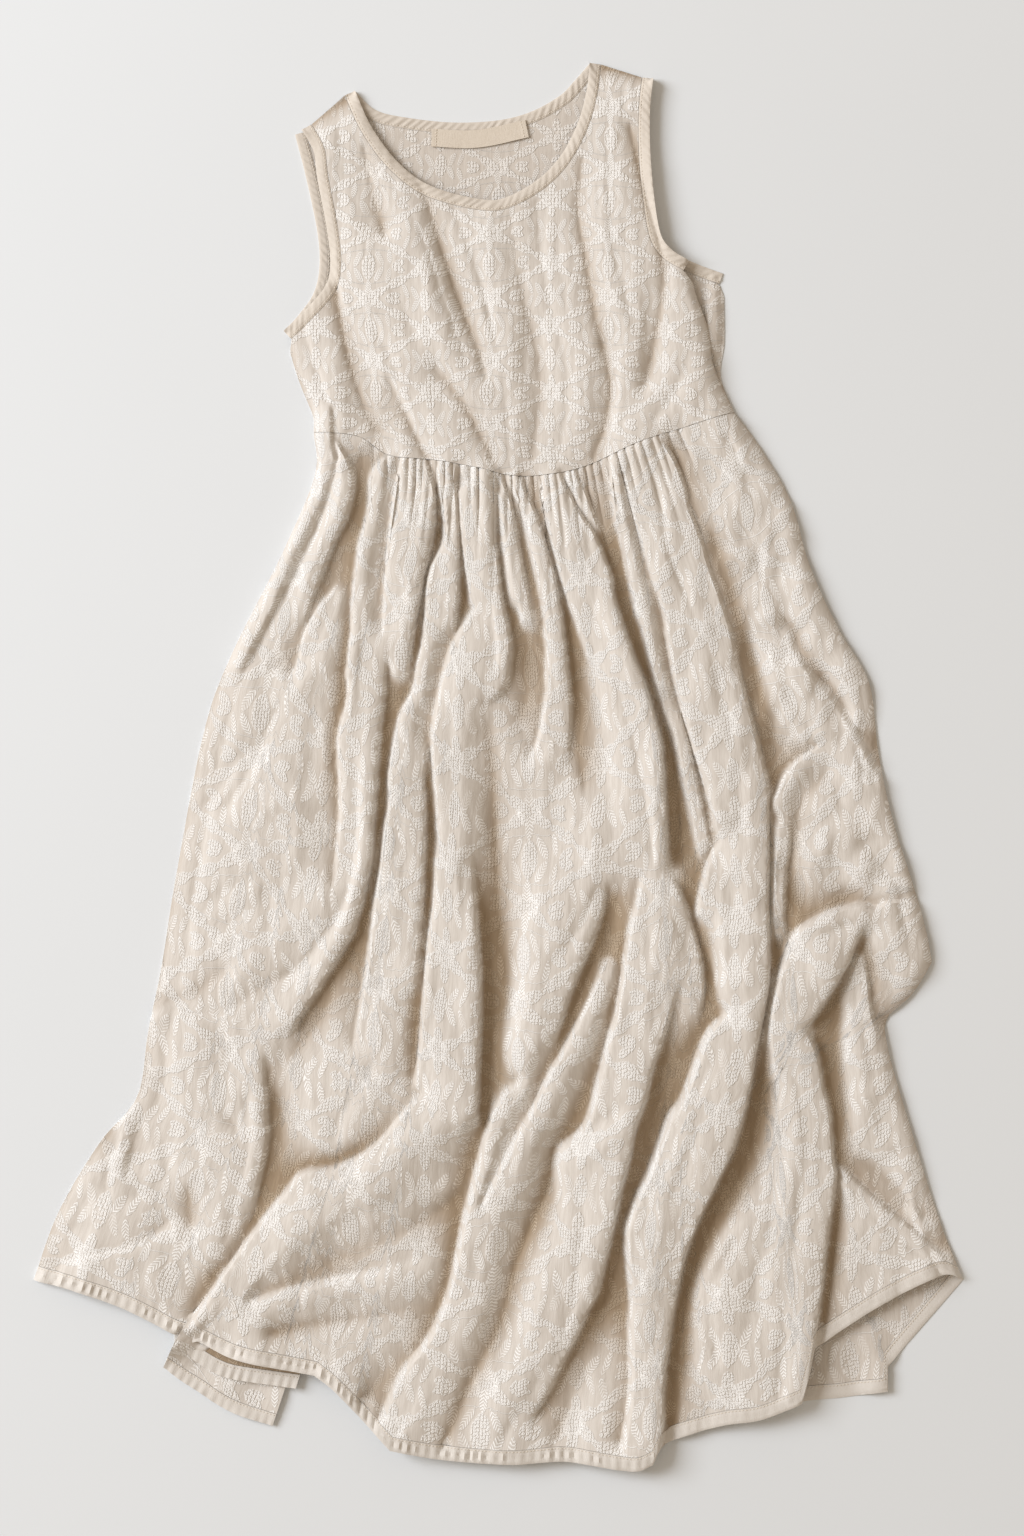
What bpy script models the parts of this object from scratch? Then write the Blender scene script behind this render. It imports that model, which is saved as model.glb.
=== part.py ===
"""A sleeveless, scoop-necked, empire-line cotton dress, laid flat on its back.

Metres, +Z up. The dress lies on the plane z = 0 with its neck towards +Y and
its open hem towards -Y; the origin is the middle of its footprint.  Every piece
that is cut and sewn is one closed wall of cloth.  The back panels lie flat, and
the front panels lie on them over a surface that is stretched between the crests
and the valleys of the main folds.
"""
import math
from collections import namedtuple

import bmesh
import bpy
import numpy as np

MM = 0.001

# Cloth and seams, in metres.
CLOTH = 1.2 * MM            # crinkled cotton with its embroidery
TRIM = 2.0 * MM             # folded bias strip, and the doubled hem
SEAM_GAP = 0.3 * MM         # clearance between pieces that are sewn together
BINDING_WIDTH = 10 * MM
BINDING_CROWN = (0.6, 1.0, 0.8)     # its thickness from edge to seam, as shares of TRIM
HEM_WIDTH = 13 * MM
STEEPEST_WALL = 2.2         # most that a slope may thicken a wall, as a factor

# Heights above the floor, in metres.
FRONT_LEVEL = TRIM + SEAM_GAP   # lowest underside of the front panels
OPEN_EDGE_LEVEL = 3.4 * MM      # underside of the front along its neck and armholes
SEAM_LEVEL = 0.8 * MM           # what pulls the front down onto the back at their seams
LABEL_DEPTH = 16 * MM
LABEL_THICKNESS = 0.6 * MM
LABEL_POINTS = 7            # points along it

# The surface of the folds is worked out on square grids, coarse to fine.
CELLS = (32 * MM, 16 * MM, 8 * MM, 4 * MM)
SWEEPS = 90
ROUNDING = 3                # times that the finest grid is smoothed
FULLNESS = 1.25             # scales the folds' heights above the lowest underside
FIELD_LOW = (-440 * MM, -650 * MM)
FIELD_SIZE = (880 * MM, 1300 * MM)

# Outlines, as points in millimetres on the floor.
SHOULDER_LEFT = ((-129, 607), (-183, 568))
SHOULDER_RIGHT = ((82, 632), (139, 618))
NECK_FRONT = ((-129, 607), (-114, 574), (-90, 542), (-61, 521), (-16, 509), (8, 511),
              (37, 528), (57, 550), (71, 577), (79, 606), (82, 632))
NECK_BACK = ((-129, 607), (-110, 590), (-80, 583), (-40, 579), (0, 581), (30, 589),
             (55, 603), (68, 616), (82, 632))
ARMHOLE_LEFT_FRONT = ((-177, 572), (-166, 552), (-163, 529), (-154, 481), (-151, 450),
                      (-156, 430), (-174, 409), (-193, 391))
ARMHOLE_LEFT_BACK = ((-183, 568), (-173, 529), (-163, 481), (-161, 450), (-166, 426),
                     (-178, 408), (-193, 391))
ARMHOLE_RIGHT_FRONT = ((139, 618), (136, 590), (136, 555), (139, 515), (145, 478),
                       (155, 463), (171, 453))
ARMHOLE_RIGHT_BACK = ((139, 618), (136, 590), (136, 555), (139, 515), (145, 478),
                      (155, 463), (178, 452), (202, 443))
SIDE_LEFT = ((-193, 391), (-180, 348), (-167, 315), (-166, 300))
SIDE_RIGHT_FRONT = ((171, 453), (178, 423), (188, 395), (191, 375), (194, 358), (212, 318))
SIDE_RIGHT_BACK = ((202, 443), (203, 410), (203, 380), (200, 350), (212, 318))
WAIST_FRONT = ((-166, 300), (-126, 296), (-98, 279), (-60, 275), (-20, 268), (12, 261),
               (45, 262), (80, 270), (127, 291), (171, 305), (212, 318))
LABEL_TOP = ((-60, 573), (-20, 572), (24, 581))
WAIST_BACK = ((-166, 300), (-60, 284), (40, 280), (130, 296), (212, 318))
SKIRT_LEFT = ((-166, 300), (-165, 262), (-195, 190), (-240, 100), (-265, 30), (-290, -100),
              (-303, -180), (-315, -240), (-325, -298), (-358, -338), (-395, -400), (-418, -462))
SKIRT_RIGHT = (((212, 318), (233, 290), (262, 240), (280, 180), (305, 125), (333, 75),
                (342, 10), (355, -50), (380, -130), (390, -176)),
               ((390, -176), (372, -205), (346, -228)),
               ((346, -228), (352, -262), (372, -330), (397, -410), (418, -462)))
HEM_FRONT = (((-418, -462), (-380, -471), (-335, -487), (-292, -509)),
             ((-292, -509), (-268, -517), (-240, -530), (-205, -538), (-165, -546)),
             ((-165, -546), (-148, -559), (-125, -583), (-97, -613)),
             ((-97, -613), (-50, -622), (10, -626), (60, -624), (118, -632), (138, -626)),
             ((138, -626), (150, -609), (200, -592), (235, -586), (272, -571)),
             ((272, -571), (284, -523)),
             ((284, -523), (310, -505), (350, -480), (398, -457), (418, -462)))
HEM_BACK = (((-418, -462), (-380, -468), (-335, -482), (-290, -502)),
            ((-290, -502), (-286, -528), (-215, -576)),
            ((-215, -576), (-198, -556), (-178, -538)),
            ((-178, -538), (-150, -550), (-97, -600), (-50, -612), (60, -614), (130, -612),
             (200, -586), (272, -572), (310, -568), (350, -562)),
            ((350, -562), (350, -540)),
            ((350, -540), (385, -500), (418, -462)))

# The main folds.  Each row is a line on the front's underside: its height in
# millimetres at the first, middle and last point, then the points on the floor.
Fold = namedtuple("Fold", "name start middle end path")
FOLDS = (
    # bodice, left to right
    Fold("side strip crest", 6, 7, 8, ((-172, 392), (-150, 330), (-150, 262))),
    Fold("side strip valley", 2.3, 2.3, 2.3, ((-147, 432), (-134, 365), (-110, 302))),
    Fold("armhole crest", 7, 8, 7, ((-138, 540), (-140, 440), (-88, 345), (-60, 285))),
    Fold("armhole valley", 3, 3, 3, ((-118, 555), (-104, 480), (-92, 345), (-64, 280))),
    Fold("left chest crest", 6, 9, 8, ((-100, 520), (-70, 470), (-45, 405), (-18, 330))),
    Fold("left chest valley", 3, 2.5, 2.5, ((-85, 535), (-50, 460), (-20, 375), (-6, 280))),
    Fold("centre left crest", 5, 7, 7, ((-35, 495), (-10, 430), (10, 350), (14, 270))),
    Fold("centre crest", 5, 7, 7, ((42, 505), (48, 430), (55, 350), (50, 272))),
    Fold("right chest valley", 2.5, 2.5, 2.5, ((75, 545), (76, 470), (97, 350), (86, 280))),
    Fold("right chest crest", 6, 8, 8, ((104, 590), (112, 480), (122, 380), (104, 300))),
    Fold("right side valley", 3, 2.5, 3, ((133, 500), (150, 430), (140, 380), (128, 335))),
    Fold("right side crest", 7, 9, 8, ((164, 440), (176, 395), (168, 350), (140, 310))),
    # skirt, waist to middle, left to right
    Fold("strip crest", 8, 9, 10, ((-152, 262), (-166, 228), (-192, 178), (-232, 84))),
    Fold("strip valley", 2.3, 2.3, 3, ((-110, 288), (-128, 205), (-158, 160), (-208, 88))),
    Fold("left panel crest", 6, 9, 5, ((-146, 152), (-190, 85), (-225, 0), (-270, -100))),
    Fold("first pleat crest", 8, 15, 14, ((-104, 275), (-124, 190), (-139, 20), (-137, -70),
                                          (-170, -180), (-236, -262))),
    Fold("first pleat valley", 3, 3, 4, ((-108, 140), (-105, -20), (-142, -170), (-200, -265),
                                         (-204, -350), (-238, -458))),
    Fold("second pleat crest", 8, 12, 9, ((-66, 268), (-88, 190), (-98, 110), (-103, 40))),
    Fold("second pleat valley", 3, 3, 3, ((-57, 262), (-60, 190), (-80, 80), (-94, 20))),
    Fold("third pleat crest", 9, 15, 12, ((-45, 265), (-60, 140), (-90, 0), (-92, -70),
                                          (-110, -190))),
    Fold("third pleat valley", 3, 3, 6, ((-34, 240), (-36, 130), (-61, 10), (-65, -150),
                                         (-76, -285))),
    Fold("sweep crest", 9, 20, 15, ((-34, 130), (-54, 0), (-45, -110), (-50, -260),
                                    (-100, -330), (-190, -390), (-262, -480), (-286, -508))),
    Fold("sweep hollow", 7, 8, 5, ((-40, -322), (-100, -365), (-170, -405), (-226, -452))),
    Fold("roll crest", 10, 16, 17, ((-44, -448), (-110, -456), (-200, -476), (-264, -503))),
    Fold("roll hollow", 7, 7, 9, ((-56, -490), (-110, -505), (-150, -530))),
    Fold("fourth pleat crest", 8, 12, 13, ((-19, 268), (-11, 190), (-8, 110), (-3, 66))),
    Fold("long valley", 7, 3, 3, ((-26, 48), (-12, -60), (-12, -200), (-13, -335))),
    Fold("fifth pleat valley", 2.5, 3, 4, ((1, 258), (7, 180), (27, 95), (27, 42))),
    Fold("fifth pleat crest", 8, 13, 10, ((21, 255), (42, 150), (47, 50), (32, -22))),
    Fold("sixth pleat valley", 3, 3, 6, ((33, 245), (64, 125), (75, 20), (62, -35))),
    Fold("great pleat crest", 9, 19, 20, ((51, 260), (72, 180), (118, 58), (132, -20),
                                          (139, -120), (122, -200), (82, -330), (68, -425),
                                          (25, -540), (0, -622))),
    Fold("great pleat valley", 2.5, 3, 4, ((86, 255), (116, 135), (150, 30), (165, -90),
                                           (187, -195), (160, -255), (128, -325), (90, -490),
                                           (40, -620))),
    Fold("broad panel crest", 8, 16, 17, ((144, 288), (190, 168), (220, 55), (236, -60),
                                          (237, -205))),
    Fold("broad panel slope", 6, 10, 9, ((104, 268), (140, 140), (165, 40), (196, -90))),
    Fold("broad panel valley", 2.5, 3, 4, ((160, 292), (187, 205), (237, 28), (248, -40),
                                           (244, -150))),
    # skirt, right side and hem
    Fold("side drape crest", 7, 9, 8, ((214, 290), (236, 165), (262, 70), (300, 45))),
    Fold("side crease crest", 11, 12, 11, ((304, 20), (268, -12), (246, -36))),
    Fold("inner strip crest", 9, 11, 9, ((251, -70), (252, -120), (256, -165))),
    Fold("loop crest", 15, 14, 13, ((242, -208), (256, -168), (300, -142), (346, -128),
                                    (382, -165))),
    Fold("loop valley", 3, 2.5, 3, ((332, -165), (290, -205), (288, -245), (306, -330),
                                    (298, -440), (281, -528))),
    Fold("knee crest", 16, 15, 12, ((247, -216), (251, -285), (276, -330))),
    Fold("side panel crest", 8, 9, 7, ((322, -215), (328, -275), (345, -345))),
    Fold("band crest", 18, 20, 18, ((224, -222), (166, -350), (140, -450), (118, -626))),
    Fold("band valley", 4, 3, 3, ((231, -252), (218, -325), (178, -430), (152, -604))),
    Fold("last pleat crest", 14, 17, 16, ((297, -375), (264, -440), (248, -510), (236, -582))),
    Fold("corner crease", 5, 6, 4, ((304, -352), (355, -388), (402, -432))),
    Fold("corner panel crest", 9, 10, 6, ((312, -372), (352, -404), (398, -446))),
    Fold("mouth lip", 9, 11, 9, ((-291, -511), (-240, -527), (-166, -543))),
    Fold("left sweep crest", 13, 16, 15, ((100, -180), (32, -305), (-38, -450), (-96, -608))),
    Fold("left sweep valley", 5, 4, 4, ((96, -222), (48, -360), (-18, -560), (-34, -618))),
    Fold("left hem crest", 6, 8, 6, ((-305, -335), (-345, -395), (-404, -440))),
    Fold("left hem hollow", 3, 4, 4, ((-245, -340), (-290, -390), (-330, -478))),
)

# The back panel rises a little where it shows beyond the front hem.
BACK_FOLD_AT = (336 * MM, -536 * MM)
BACK_FOLD_HALF = (16 * MM, 42 * MM)
BACK_FOLD_HEIGHT = 4 * MM

# The pleat that is turned under the front hem at the lower left, in millimetres:
# one row for each line across it, from its hem up to where the front hides it.
PleatLine = namedtuple("PleatLine", "left_x left_y right_x right_y lip_x lip_y lip_right_y")
PLEAT_LINES = (
    PleatLine(-299, -541, -206, -594, -270, -536, -559),
    PleatLine(-294, -527, -198, -577, -278, -526, -546),
    PleatLine(-288, -512, -190, -560, -280, -516, -534),
    PleatLine(-276, -498, -182, -540, -268, -504, -522),
)
PLEAT_LOW = 2.3             # underside of its lower layer, millimetres
PLEAT_LIP = 6.4             # height of the middle of its upper layer
PLEAT_TURN = 3              # how far its round turn stands out, millimetres
PLEAT_LOWER_POINTS = 6      # points across its lower layer, and across its upper one
PLEAT_UPPER_POINTS = 5

# How many lines each panel has: along its neck, across one shoulder strap, down
# one armhole, down one side, down the skirt, and across the skirt for each line
# across the bodice.
Lines = namedtuple("Lines", "neck strap arm side skirt skirt_share")
FRONT_LINES = Lines(neck=19, strap=4, arm=9, side=4, skirt=32, skirt_share=2)
BACK_LINES = Lines(neck=13, strap=3, arm=9, side=4, skirt=10, skirt_share=1)
FINE = 240                  # points that a curve is measured with
FOLD_FINE = 720             # points that each fold line and seam pins the surface at
CURVE_STEPS = 24            # points between two given points of a curve, before it is evened out
SIDE_SKIPPED = 30           # of the FINE points of a side, those that the binding takes up
EASING_SWEEPS = 60          # how far the steps of an outline are smoothed away
STEP_FADE = 5               # how quickly those steps fade towards a panel's middle

# Linear base colours and roughness.
COTTON = (0.80, 0.76, 0.69)
BIAS = (0.76, 0.68, 0.57)
HEM_CLOTH = (0.78, 0.73, 0.65)
LABEL_CLOTH = (0.74, 0.66, 0.53)
CLOTH_ROUGHNESS = 0.9
SHARP_FROM = 50             # edges that turn by more than this many degrees look sharp


# ---------------------------------------------------------------- curves
def resample(points, count, start=0.0, end=None):
    """Points at even distances along a polyline, from start to end in metres."""
    steps = np.linalg.norm(np.diff(points, axis=0), axis=1)
    run = np.concatenate(([0.0], np.cumsum(steps)))
    at = np.linspace(start, run[-1] if end is None else end, count)
    return np.stack([np.interp(at, run, points[:, k]) for k in range(points.shape[1])], 1)


def through(points, count=FINE):
    """A smooth curve through points in millimetres, in metres and evenly spaced."""
    p = np.array(points, float) * MM
    ends = np.vstack((2 * p[0] - p[1], p, 2 * p[-1] - p[-2]))
    pieces = []
    for a, b, c, d in zip(ends, ends[1:], ends[2:], ends[3:]):
        t = np.linspace(0, 1, CURVE_STEPS, endpoint=False)[:, None]
        pieces.append(0.5 * (2 * b + (c - a) * t + (2 * a - 5 * b + 4 * c - d) * t ** 2
                             + (3 * b - a - 3 * c + d) * t ** 3))
    return resample(np.vstack(pieces + [p[-1:]]), count)


def stretches(rows, count, axis):
    """Points along smooth stretches that meet at corners, each corner among them.

    A stretch gets its share of the points by how far it goes along the axis."""
    curves = [through(row) for row in rows]
    reach = np.array([abs(curve[-1, axis] - curve[0, axis]) for curve in curves])
    cells = np.maximum(np.rint(reach / reach.sum() * (count - 1)), 1).astype(int)
    cells[reach.argmax()] += count - 1 - cells.sum()
    parts = [resample(curve, n + 1)[:-1] for curve, n in zip(curves, cells)]
    return np.vstack(parts + [curves[-1][-1:]])


def beside(curve, distance):
    """The curve moved by a distance to the right of its run."""
    run = np.gradient(curve, axis=0)
    run /= np.linalg.norm(run, axis=1)[:, None]
    return curve + distance * np.stack((run[:, 1], -run[:, 0]), 1)


def eased(edge):
    """An edge with its steps and notches smoothed away, and what was taken off."""
    plain = edge.copy()
    for _ in range(EASING_SWEEPS):
        plain[1:-1] = (plain[:-2] + plain[2:]) / 2
    return plain, edge - plain


def patch(top, bottom, left, right):
    """A grid of floor points between four edges given as points.

    It is a Coons patch of the eased edges.  Their steps and notches fade out
    quickly towards the middle of the patch."""
    s = np.linspace(0, 1, len(top))[None, :, None]
    t = np.linspace(0, 1, len(left))[:, None, None]
    (top, top_step), (bottom, bottom_step) = eased(top), eased(bottom)
    (left, left_step), (right, right_step) = eased(left), eased(right)
    corners = ((1 - s) * (1 - t) * top[0] + s * (1 - t) * top[-1]
               + (1 - s) * t * bottom[0] + s * t * bottom[-1])
    floor = (1 - t) * top + t * bottom + (1 - s) * left[:, None] + s * right[:, None] - corners
    return (floor + (1 - t) ** STEP_FADE * top_step + t ** STEP_FADE * bottom_step
            + (1 - s) ** STEP_FADE * left_step[:, None] + s ** STEP_FADE * right_step[:, None])


# ---------------------------------------------------------------- folds
def pins(lines, cell):
    """The grid cells that the fold lines fix, and the height of each."""
    shape = tuple(int(round(size / cell)) + 1 for size in FIELD_SIZE)
    total, hits = np.zeros(shape), np.zeros(shape)
    for floor, height in lines:
        at = np.rint((floor - FIELD_LOW) / cell).astype(int)
        np.add.at(total, tuple(at.T), height)
        np.add.at(hits, tuple(at.T), 1)
    return total / np.maximum(hits, 1), hits > 0


def relaxed(height, fixed, pinned, sweeps):
    """Stretch a membrane between the pinned cells."""
    height = np.where(pinned, fixed, height)
    for _ in range(sweeps):
        edge = np.pad(height, 1, mode="edge")
        mean = (edge[:-2, 1:-1] + edge[2:, 1:-1] + edge[1:-1, :-2] + edge[1:-1, 2:]) / 4
        height = np.where(pinned, fixed, mean)
    return height


def softened(height):
    """Round the creases over about one cell each way."""
    for axis in (0, 1):
        edge = np.pad(height, [(1, 1) if k == axis else (0, 0) for k in (0, 1)], mode="edge")
        ahead = np.take(edge, range(2, edge.shape[axis]), axis)
        behind = np.take(edge, range(edge.shape[axis] - 2), axis)
        height = 0.5 * height + 0.25 * (ahead + behind)
    return height


def fold_lines():
    """Every fold, seam and open edge, as floor points with their heights."""
    lines = []
    for fold in FOLDS:
        floor = through(fold.path, FOLD_FINE)
        along = np.linspace(0, 1, len(floor))
        lines.append((floor, MM * np.interp(along, (0, 0.5, 1),
                                            (fold.start, fold.middle, fold.end))))
    seams = (through(SIDE_LEFT), through(SKIRT_LEFT), stretches(SKIRT_RIGHT, FINE, 1),
             through(SIDE_RIGHT_FRONT), through(SHOULDER_LEFT), through(SHOULDER_RIGHT))
    open_edges = (through(NECK_FRONT), through(ARMHOLE_LEFT_FRONT),
                  through(ARMHOLE_RIGHT_FRONT))
    for edges, level in ((seams, SEAM_LEVEL), (open_edges, OPEN_EDGE_LEVEL)):
        for edge in edges:
            edge = resample(edge, FOLD_FINE)
            lines.append((edge, np.full(len(edge), level)))
    return lines


def fold_field():
    """The height of the front's underside, on the finest grid."""
    lines = fold_lines()
    height = None
    for cell in CELLS:
        fixed, pinned = pins(lines, cell)
        if height is None:
            height = np.full(fixed.shape, fixed[pinned].mean())
        else:
            rows = np.minimum(np.arange(fixed.shape[0]) // 2, height.shape[0] - 1)
            cols = np.minimum(np.arange(fixed.shape[1]) // 2, height.shape[1] - 1)
            height = height[np.ix_(rows, cols)]
        height = relaxed(height, fixed, pinned, SWEEPS)
    for _ in range(ROUNDING):
        height = softened(height)
    return FRONT_LEVEL + FULLNESS * np.maximum(height - FRONT_LEVEL, 0)


FIELD = fold_field()


def front_height(floor):
    """The front's underside above each floor point."""
    at = (floor - FIELD_LOW) / CELLS[-1]
    low = np.clip(np.floor(at).astype(int), 0, np.array(FIELD.shape) - 2)
    u, v = np.moveaxis(at - low, -1, 0)
    i, j = np.moveaxis(low, -1, 0)
    return ((1 - u) * (1 - v) * FIELD[i, j] + u * (1 - v) * FIELD[i + 1, j]
            + (1 - u) * v * FIELD[i, j + 1] + u * v * FIELD[i + 1, j + 1])


def back_height(floor):
    """The back's underside: flat, but for the fold that shows at the hem."""
    away = (floor - BACK_FOLD_AT) / BACK_FOLD_HALF
    reach = np.clip(1 - (away ** 2).sum(-1), 0, 1)
    return BACK_FOLD_HEIGHT * reach ** 2 * (3 - 2 * reach)


# ---------------------------------------------------------------- solids
def material(name, colour, roughness):
    """A Principled material of one colour."""
    made = bpy.data.materials.new(name)
    made.use_nodes = True
    shader = made.node_tree.nodes["Principled BSDF"]
    shader.inputs["Base Color"].default_value = (*colour, 1)
    shader.inputs["Roughness"].default_value = roughness
    shader.inputs["Metallic"].default_value = 0.0
    return made


def closed_sheet(name, under, over, colour):
    """One wall of cloth from two matching grids of points, with its rim closed.

    Each cell is split along its more level diagonal, so that a crest or valley
    that slants across the grid keeps a straight run."""
    down, across = under.shape[:2]
    mesh = bmesh.new()
    layers = [[[mesh.verts.new(p) for p in row] for row in grid] for grid in (under, over)]
    drop = np.abs(under[:-1, :-1, 2] - under[1:, 1:, 2])
    rise = np.abs(under[:-1, 1:, 2] - under[1:, :-1, 2])
    for layer in layers:
        for r in range(down - 1):
            for c in range(across - 1):
                ring = [layer[r][c], layer[r][c + 1], layer[r + 1][c + 1], layer[r + 1][c]]
                if rise[r, c] < drop[r, c]:
                    ring = ring[1:] + ring[:1]
                mesh.faces.new(ring[:3])
                mesh.faces.new((ring[2], ring[3], ring[0]))
    rim = ([(0, c) for c in range(across)] + [(r, across - 1) for r in range(1, down)]
           + [(down - 1, c) for c in range(across - 2, -1, -1)]
           + [(r, 0) for r in range(down - 2, 0, -1)])
    low, high = layers
    for (r, c), (r2, c2) in zip(rim, rim[1:] + rim[:1]):
        mesh.faces.new((low[r][c], low[r2][c2], high[r2][c2], high[r][c]))
    bmesh.ops.recalc_face_normals(mesh, faces=mesh.faces)
    data = bpy.data.meshes.new(name)
    mesh.to_mesh(data)
    mesh.free()
    data.materials.append(material(name + "_cloth", colour, CLOTH_ROUGHNESS))
    data.shade_smooth()
    data.set_sharp_from_angle(angle=math.radians(SHARP_FROM))
    piece = bpy.data.objects.new(name, data)
    bpy.context.collection.objects.link(piece)
    return piece


def raised(floor, height):
    """Floor points lifted to their heights."""
    return np.concatenate((floor, np.asarray(height)[..., None]), -1)


def wall(name, floor, height_at, thickness, colour):
    """A panel over the floor points, of even thickness also on its slopes."""
    under = raised(floor, height_at(floor))
    down_step, across_step = np.gradient(under, axis=0), np.gradient(under, axis=1)
    normal = np.cross(down_step, across_step)
    steep = np.linalg.norm(normal, axis=-1) / np.abs(normal[..., 2])
    over = under.copy()
    over[..., 2] += thickness * np.minimum(steep, STEEPEST_WALL)
    return closed_sheet(name, under, over, colour)


def bodice(name, neck, armholes, sides, waist, lines, height_at):
    """A bodice panel inside its bindings, and the bindings, on the same lines."""
    inset = BINDING_WIDTH + SEAM_GAP
    neckline = resample(through(neck), lines.neck)
    arms = [resample(through(curve), lines.arm) for curve in armholes]
    seams = [through(curve)[SIDE_SKIPPED:] for curve in sides]
    left, right = (np.vstack((beside(arm, turn * inset), resample(seam, lines.side)))
                   for arm, seam, turn in zip(arms, seams, (-1, 1)))
    neck_seam = beside(neckline, inset)
    top = np.vstack((np.linspace(left[0], neck_seam[0], lines.strap)[:-1], neck_seam,
                     np.linspace(neck_seam[-1], right[0], lines.strap)[1:]))
    bottom = beside(resample(through(waist), len(top)), -SEAM_GAP / 2)
    left[-1], right[-1] = bottom[0], bottom[-1]
    wall("bodice_" + name, patch(top, bottom, left, right), height_at, CLOTH, COTTON)
    binding("neck_binding_" + name, neckline, 1, height_at)
    binding("armhole_binding_left_" + name, arms[0], -1, height_at)
    binding("armhole_binding_right_" + name, arms[1], 1, height_at)


def skirt(name, waist, sides, hem, lines, height_at):
    """A skirt panel, and the hem that finishes it, on the same columns."""
    cells = lines.neck - 1 + 2 * (lines.strap - 1)
    seam = beside(resample(through(waist), cells + 1), SEAM_GAP / 2)
    top = resample(seam, cells * lines.skirt_share + 1)
    left, right = (stretches(side, lines.skirt, 1) for side in sides)
    left[0], right[0] = top[0], top[-1]
    floor = patch(top, stretches(hem, len(top), 0), left, right)
    edge, last = floor[-1], floor[-2] - floor[-1]
    last /= np.linalg.norm(last, axis=1)[:, None]
    panel = np.concatenate((floor[:-1], (edge + last * (HEM_WIDTH + SEAM_GAP))[None]))
    band = np.stack((edge + last * HEM_WIDTH, edge + last * HEM_WIDTH / 2, edge))
    wall("skirt_" + name, panel, height_at, CLOTH, COTTON)
    wall("hem_" + name, band, height_at, TRIM, HEM_CLOTH)


def binding(name, edge, side, height_at):
    """A folded bias strip along an edge: side is 1 to its right and -1 to its left."""
    floor = np.stack([beside(edge, side * width) for width in
                      (0, BINDING_WIDTH / 2, BINDING_WIDTH)], 1)
    under = raised(floor, height_at(floor))
    over = under.copy()
    over[..., 2] += TRIM * np.array(BINDING_CROWN)
    closed_sheet(name, under, over, BIAS)


def label():
    """A blank woven strip, sewn over the inner edge of the back neck binding."""
    top = resample(through(LABEL_TOP), LABEL_POINTS)
    floor = np.stack([beside(top, drop) for drop in (0, LABEL_DEPTH)], 1)
    under = raised(floor, np.full(floor.shape[:2], TRIM + SEAM_GAP))
    over = under + (0, 0, LABEL_THICKNESS)
    closed_sheet("label", under, over, LABEL_CLOTH)


def turned_pleat():
    """The front's pleat under its hem: a lower layer that turns back over itself."""
    rows = []
    for line in PLEAT_LINES:
        lower = np.linspace((line.left_x, line.left_y, PLEAT_LOW),
                            (line.right_x, line.right_y, PLEAT_LOW), PLEAT_LOWER_POINTS)
        turn = np.array([(line.right_x + PLEAT_TURN, (line.right_y + line.lip_right_y) / 2,
                          (PLEAT_LOW + PLEAT_LIP) / 2)])
        upper = np.linspace((line.right_x, line.lip_right_y, PLEAT_LIP),
                            (line.lip_x, line.lip_y, PLEAT_LIP), PLEAT_UPPER_POINTS)
        rows.append(np.vstack((lower, turn, upper)))
    middle = np.array(rows) * MM
    middle[..., 2] += CLOTH / 2
    normal = np.cross(np.gradient(middle, axis=0), np.gradient(middle, axis=1))
    normal /= np.linalg.norm(normal, axis=-1)[..., None]
    closed_sheet("skirt_front_pleat", middle - normal * CLOTH / 2, middle + normal * CLOTH / 2,
                 COTTON)


def build():
    """Make every piece of the dress."""
    for thing in list(bpy.data.objects):
        bpy.data.objects.remove(thing)
    sides = ((SKIRT_LEFT,), SKIRT_RIGHT)
    skirt("back", WAIST_BACK, sides, HEM_BACK, BACK_LINES, back_height)
    skirt("front", WAIST_FRONT, sides, HEM_FRONT, FRONT_LINES, front_height)
    bodice("back", NECK_BACK, (ARMHOLE_LEFT_BACK, ARMHOLE_RIGHT_BACK),
           (SIDE_LEFT, SIDE_RIGHT_BACK), WAIST_BACK, BACK_LINES, back_height)
    bodice("front", NECK_FRONT, (ARMHOLE_LEFT_FRONT, ARMHOLE_RIGHT_FRONT),
           (SIDE_LEFT, SIDE_RIGHT_FRONT), WAIST_FRONT, FRONT_LINES, front_height)
    label()
    turned_pleat()


build()
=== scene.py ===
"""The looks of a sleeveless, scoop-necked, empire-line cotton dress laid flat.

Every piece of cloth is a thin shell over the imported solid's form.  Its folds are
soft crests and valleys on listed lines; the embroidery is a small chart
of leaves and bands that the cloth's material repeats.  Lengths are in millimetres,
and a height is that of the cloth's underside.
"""
import math
from collections import namedtuple
from functools import reduce
from itertools import product

import bpy
import numpy as np
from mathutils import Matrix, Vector


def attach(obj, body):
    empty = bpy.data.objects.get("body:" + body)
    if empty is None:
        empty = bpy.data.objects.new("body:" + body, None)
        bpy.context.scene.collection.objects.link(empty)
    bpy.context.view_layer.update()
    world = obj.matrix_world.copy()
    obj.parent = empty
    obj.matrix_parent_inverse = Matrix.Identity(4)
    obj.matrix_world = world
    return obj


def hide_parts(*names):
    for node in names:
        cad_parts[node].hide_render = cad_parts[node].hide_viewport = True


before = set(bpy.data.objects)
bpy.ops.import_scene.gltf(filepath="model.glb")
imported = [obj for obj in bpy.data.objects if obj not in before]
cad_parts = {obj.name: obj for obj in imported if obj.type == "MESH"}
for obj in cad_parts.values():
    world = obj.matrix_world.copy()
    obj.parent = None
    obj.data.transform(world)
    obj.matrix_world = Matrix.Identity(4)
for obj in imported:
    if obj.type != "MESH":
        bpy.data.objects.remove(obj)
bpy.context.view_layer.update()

MM = 0.001

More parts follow.
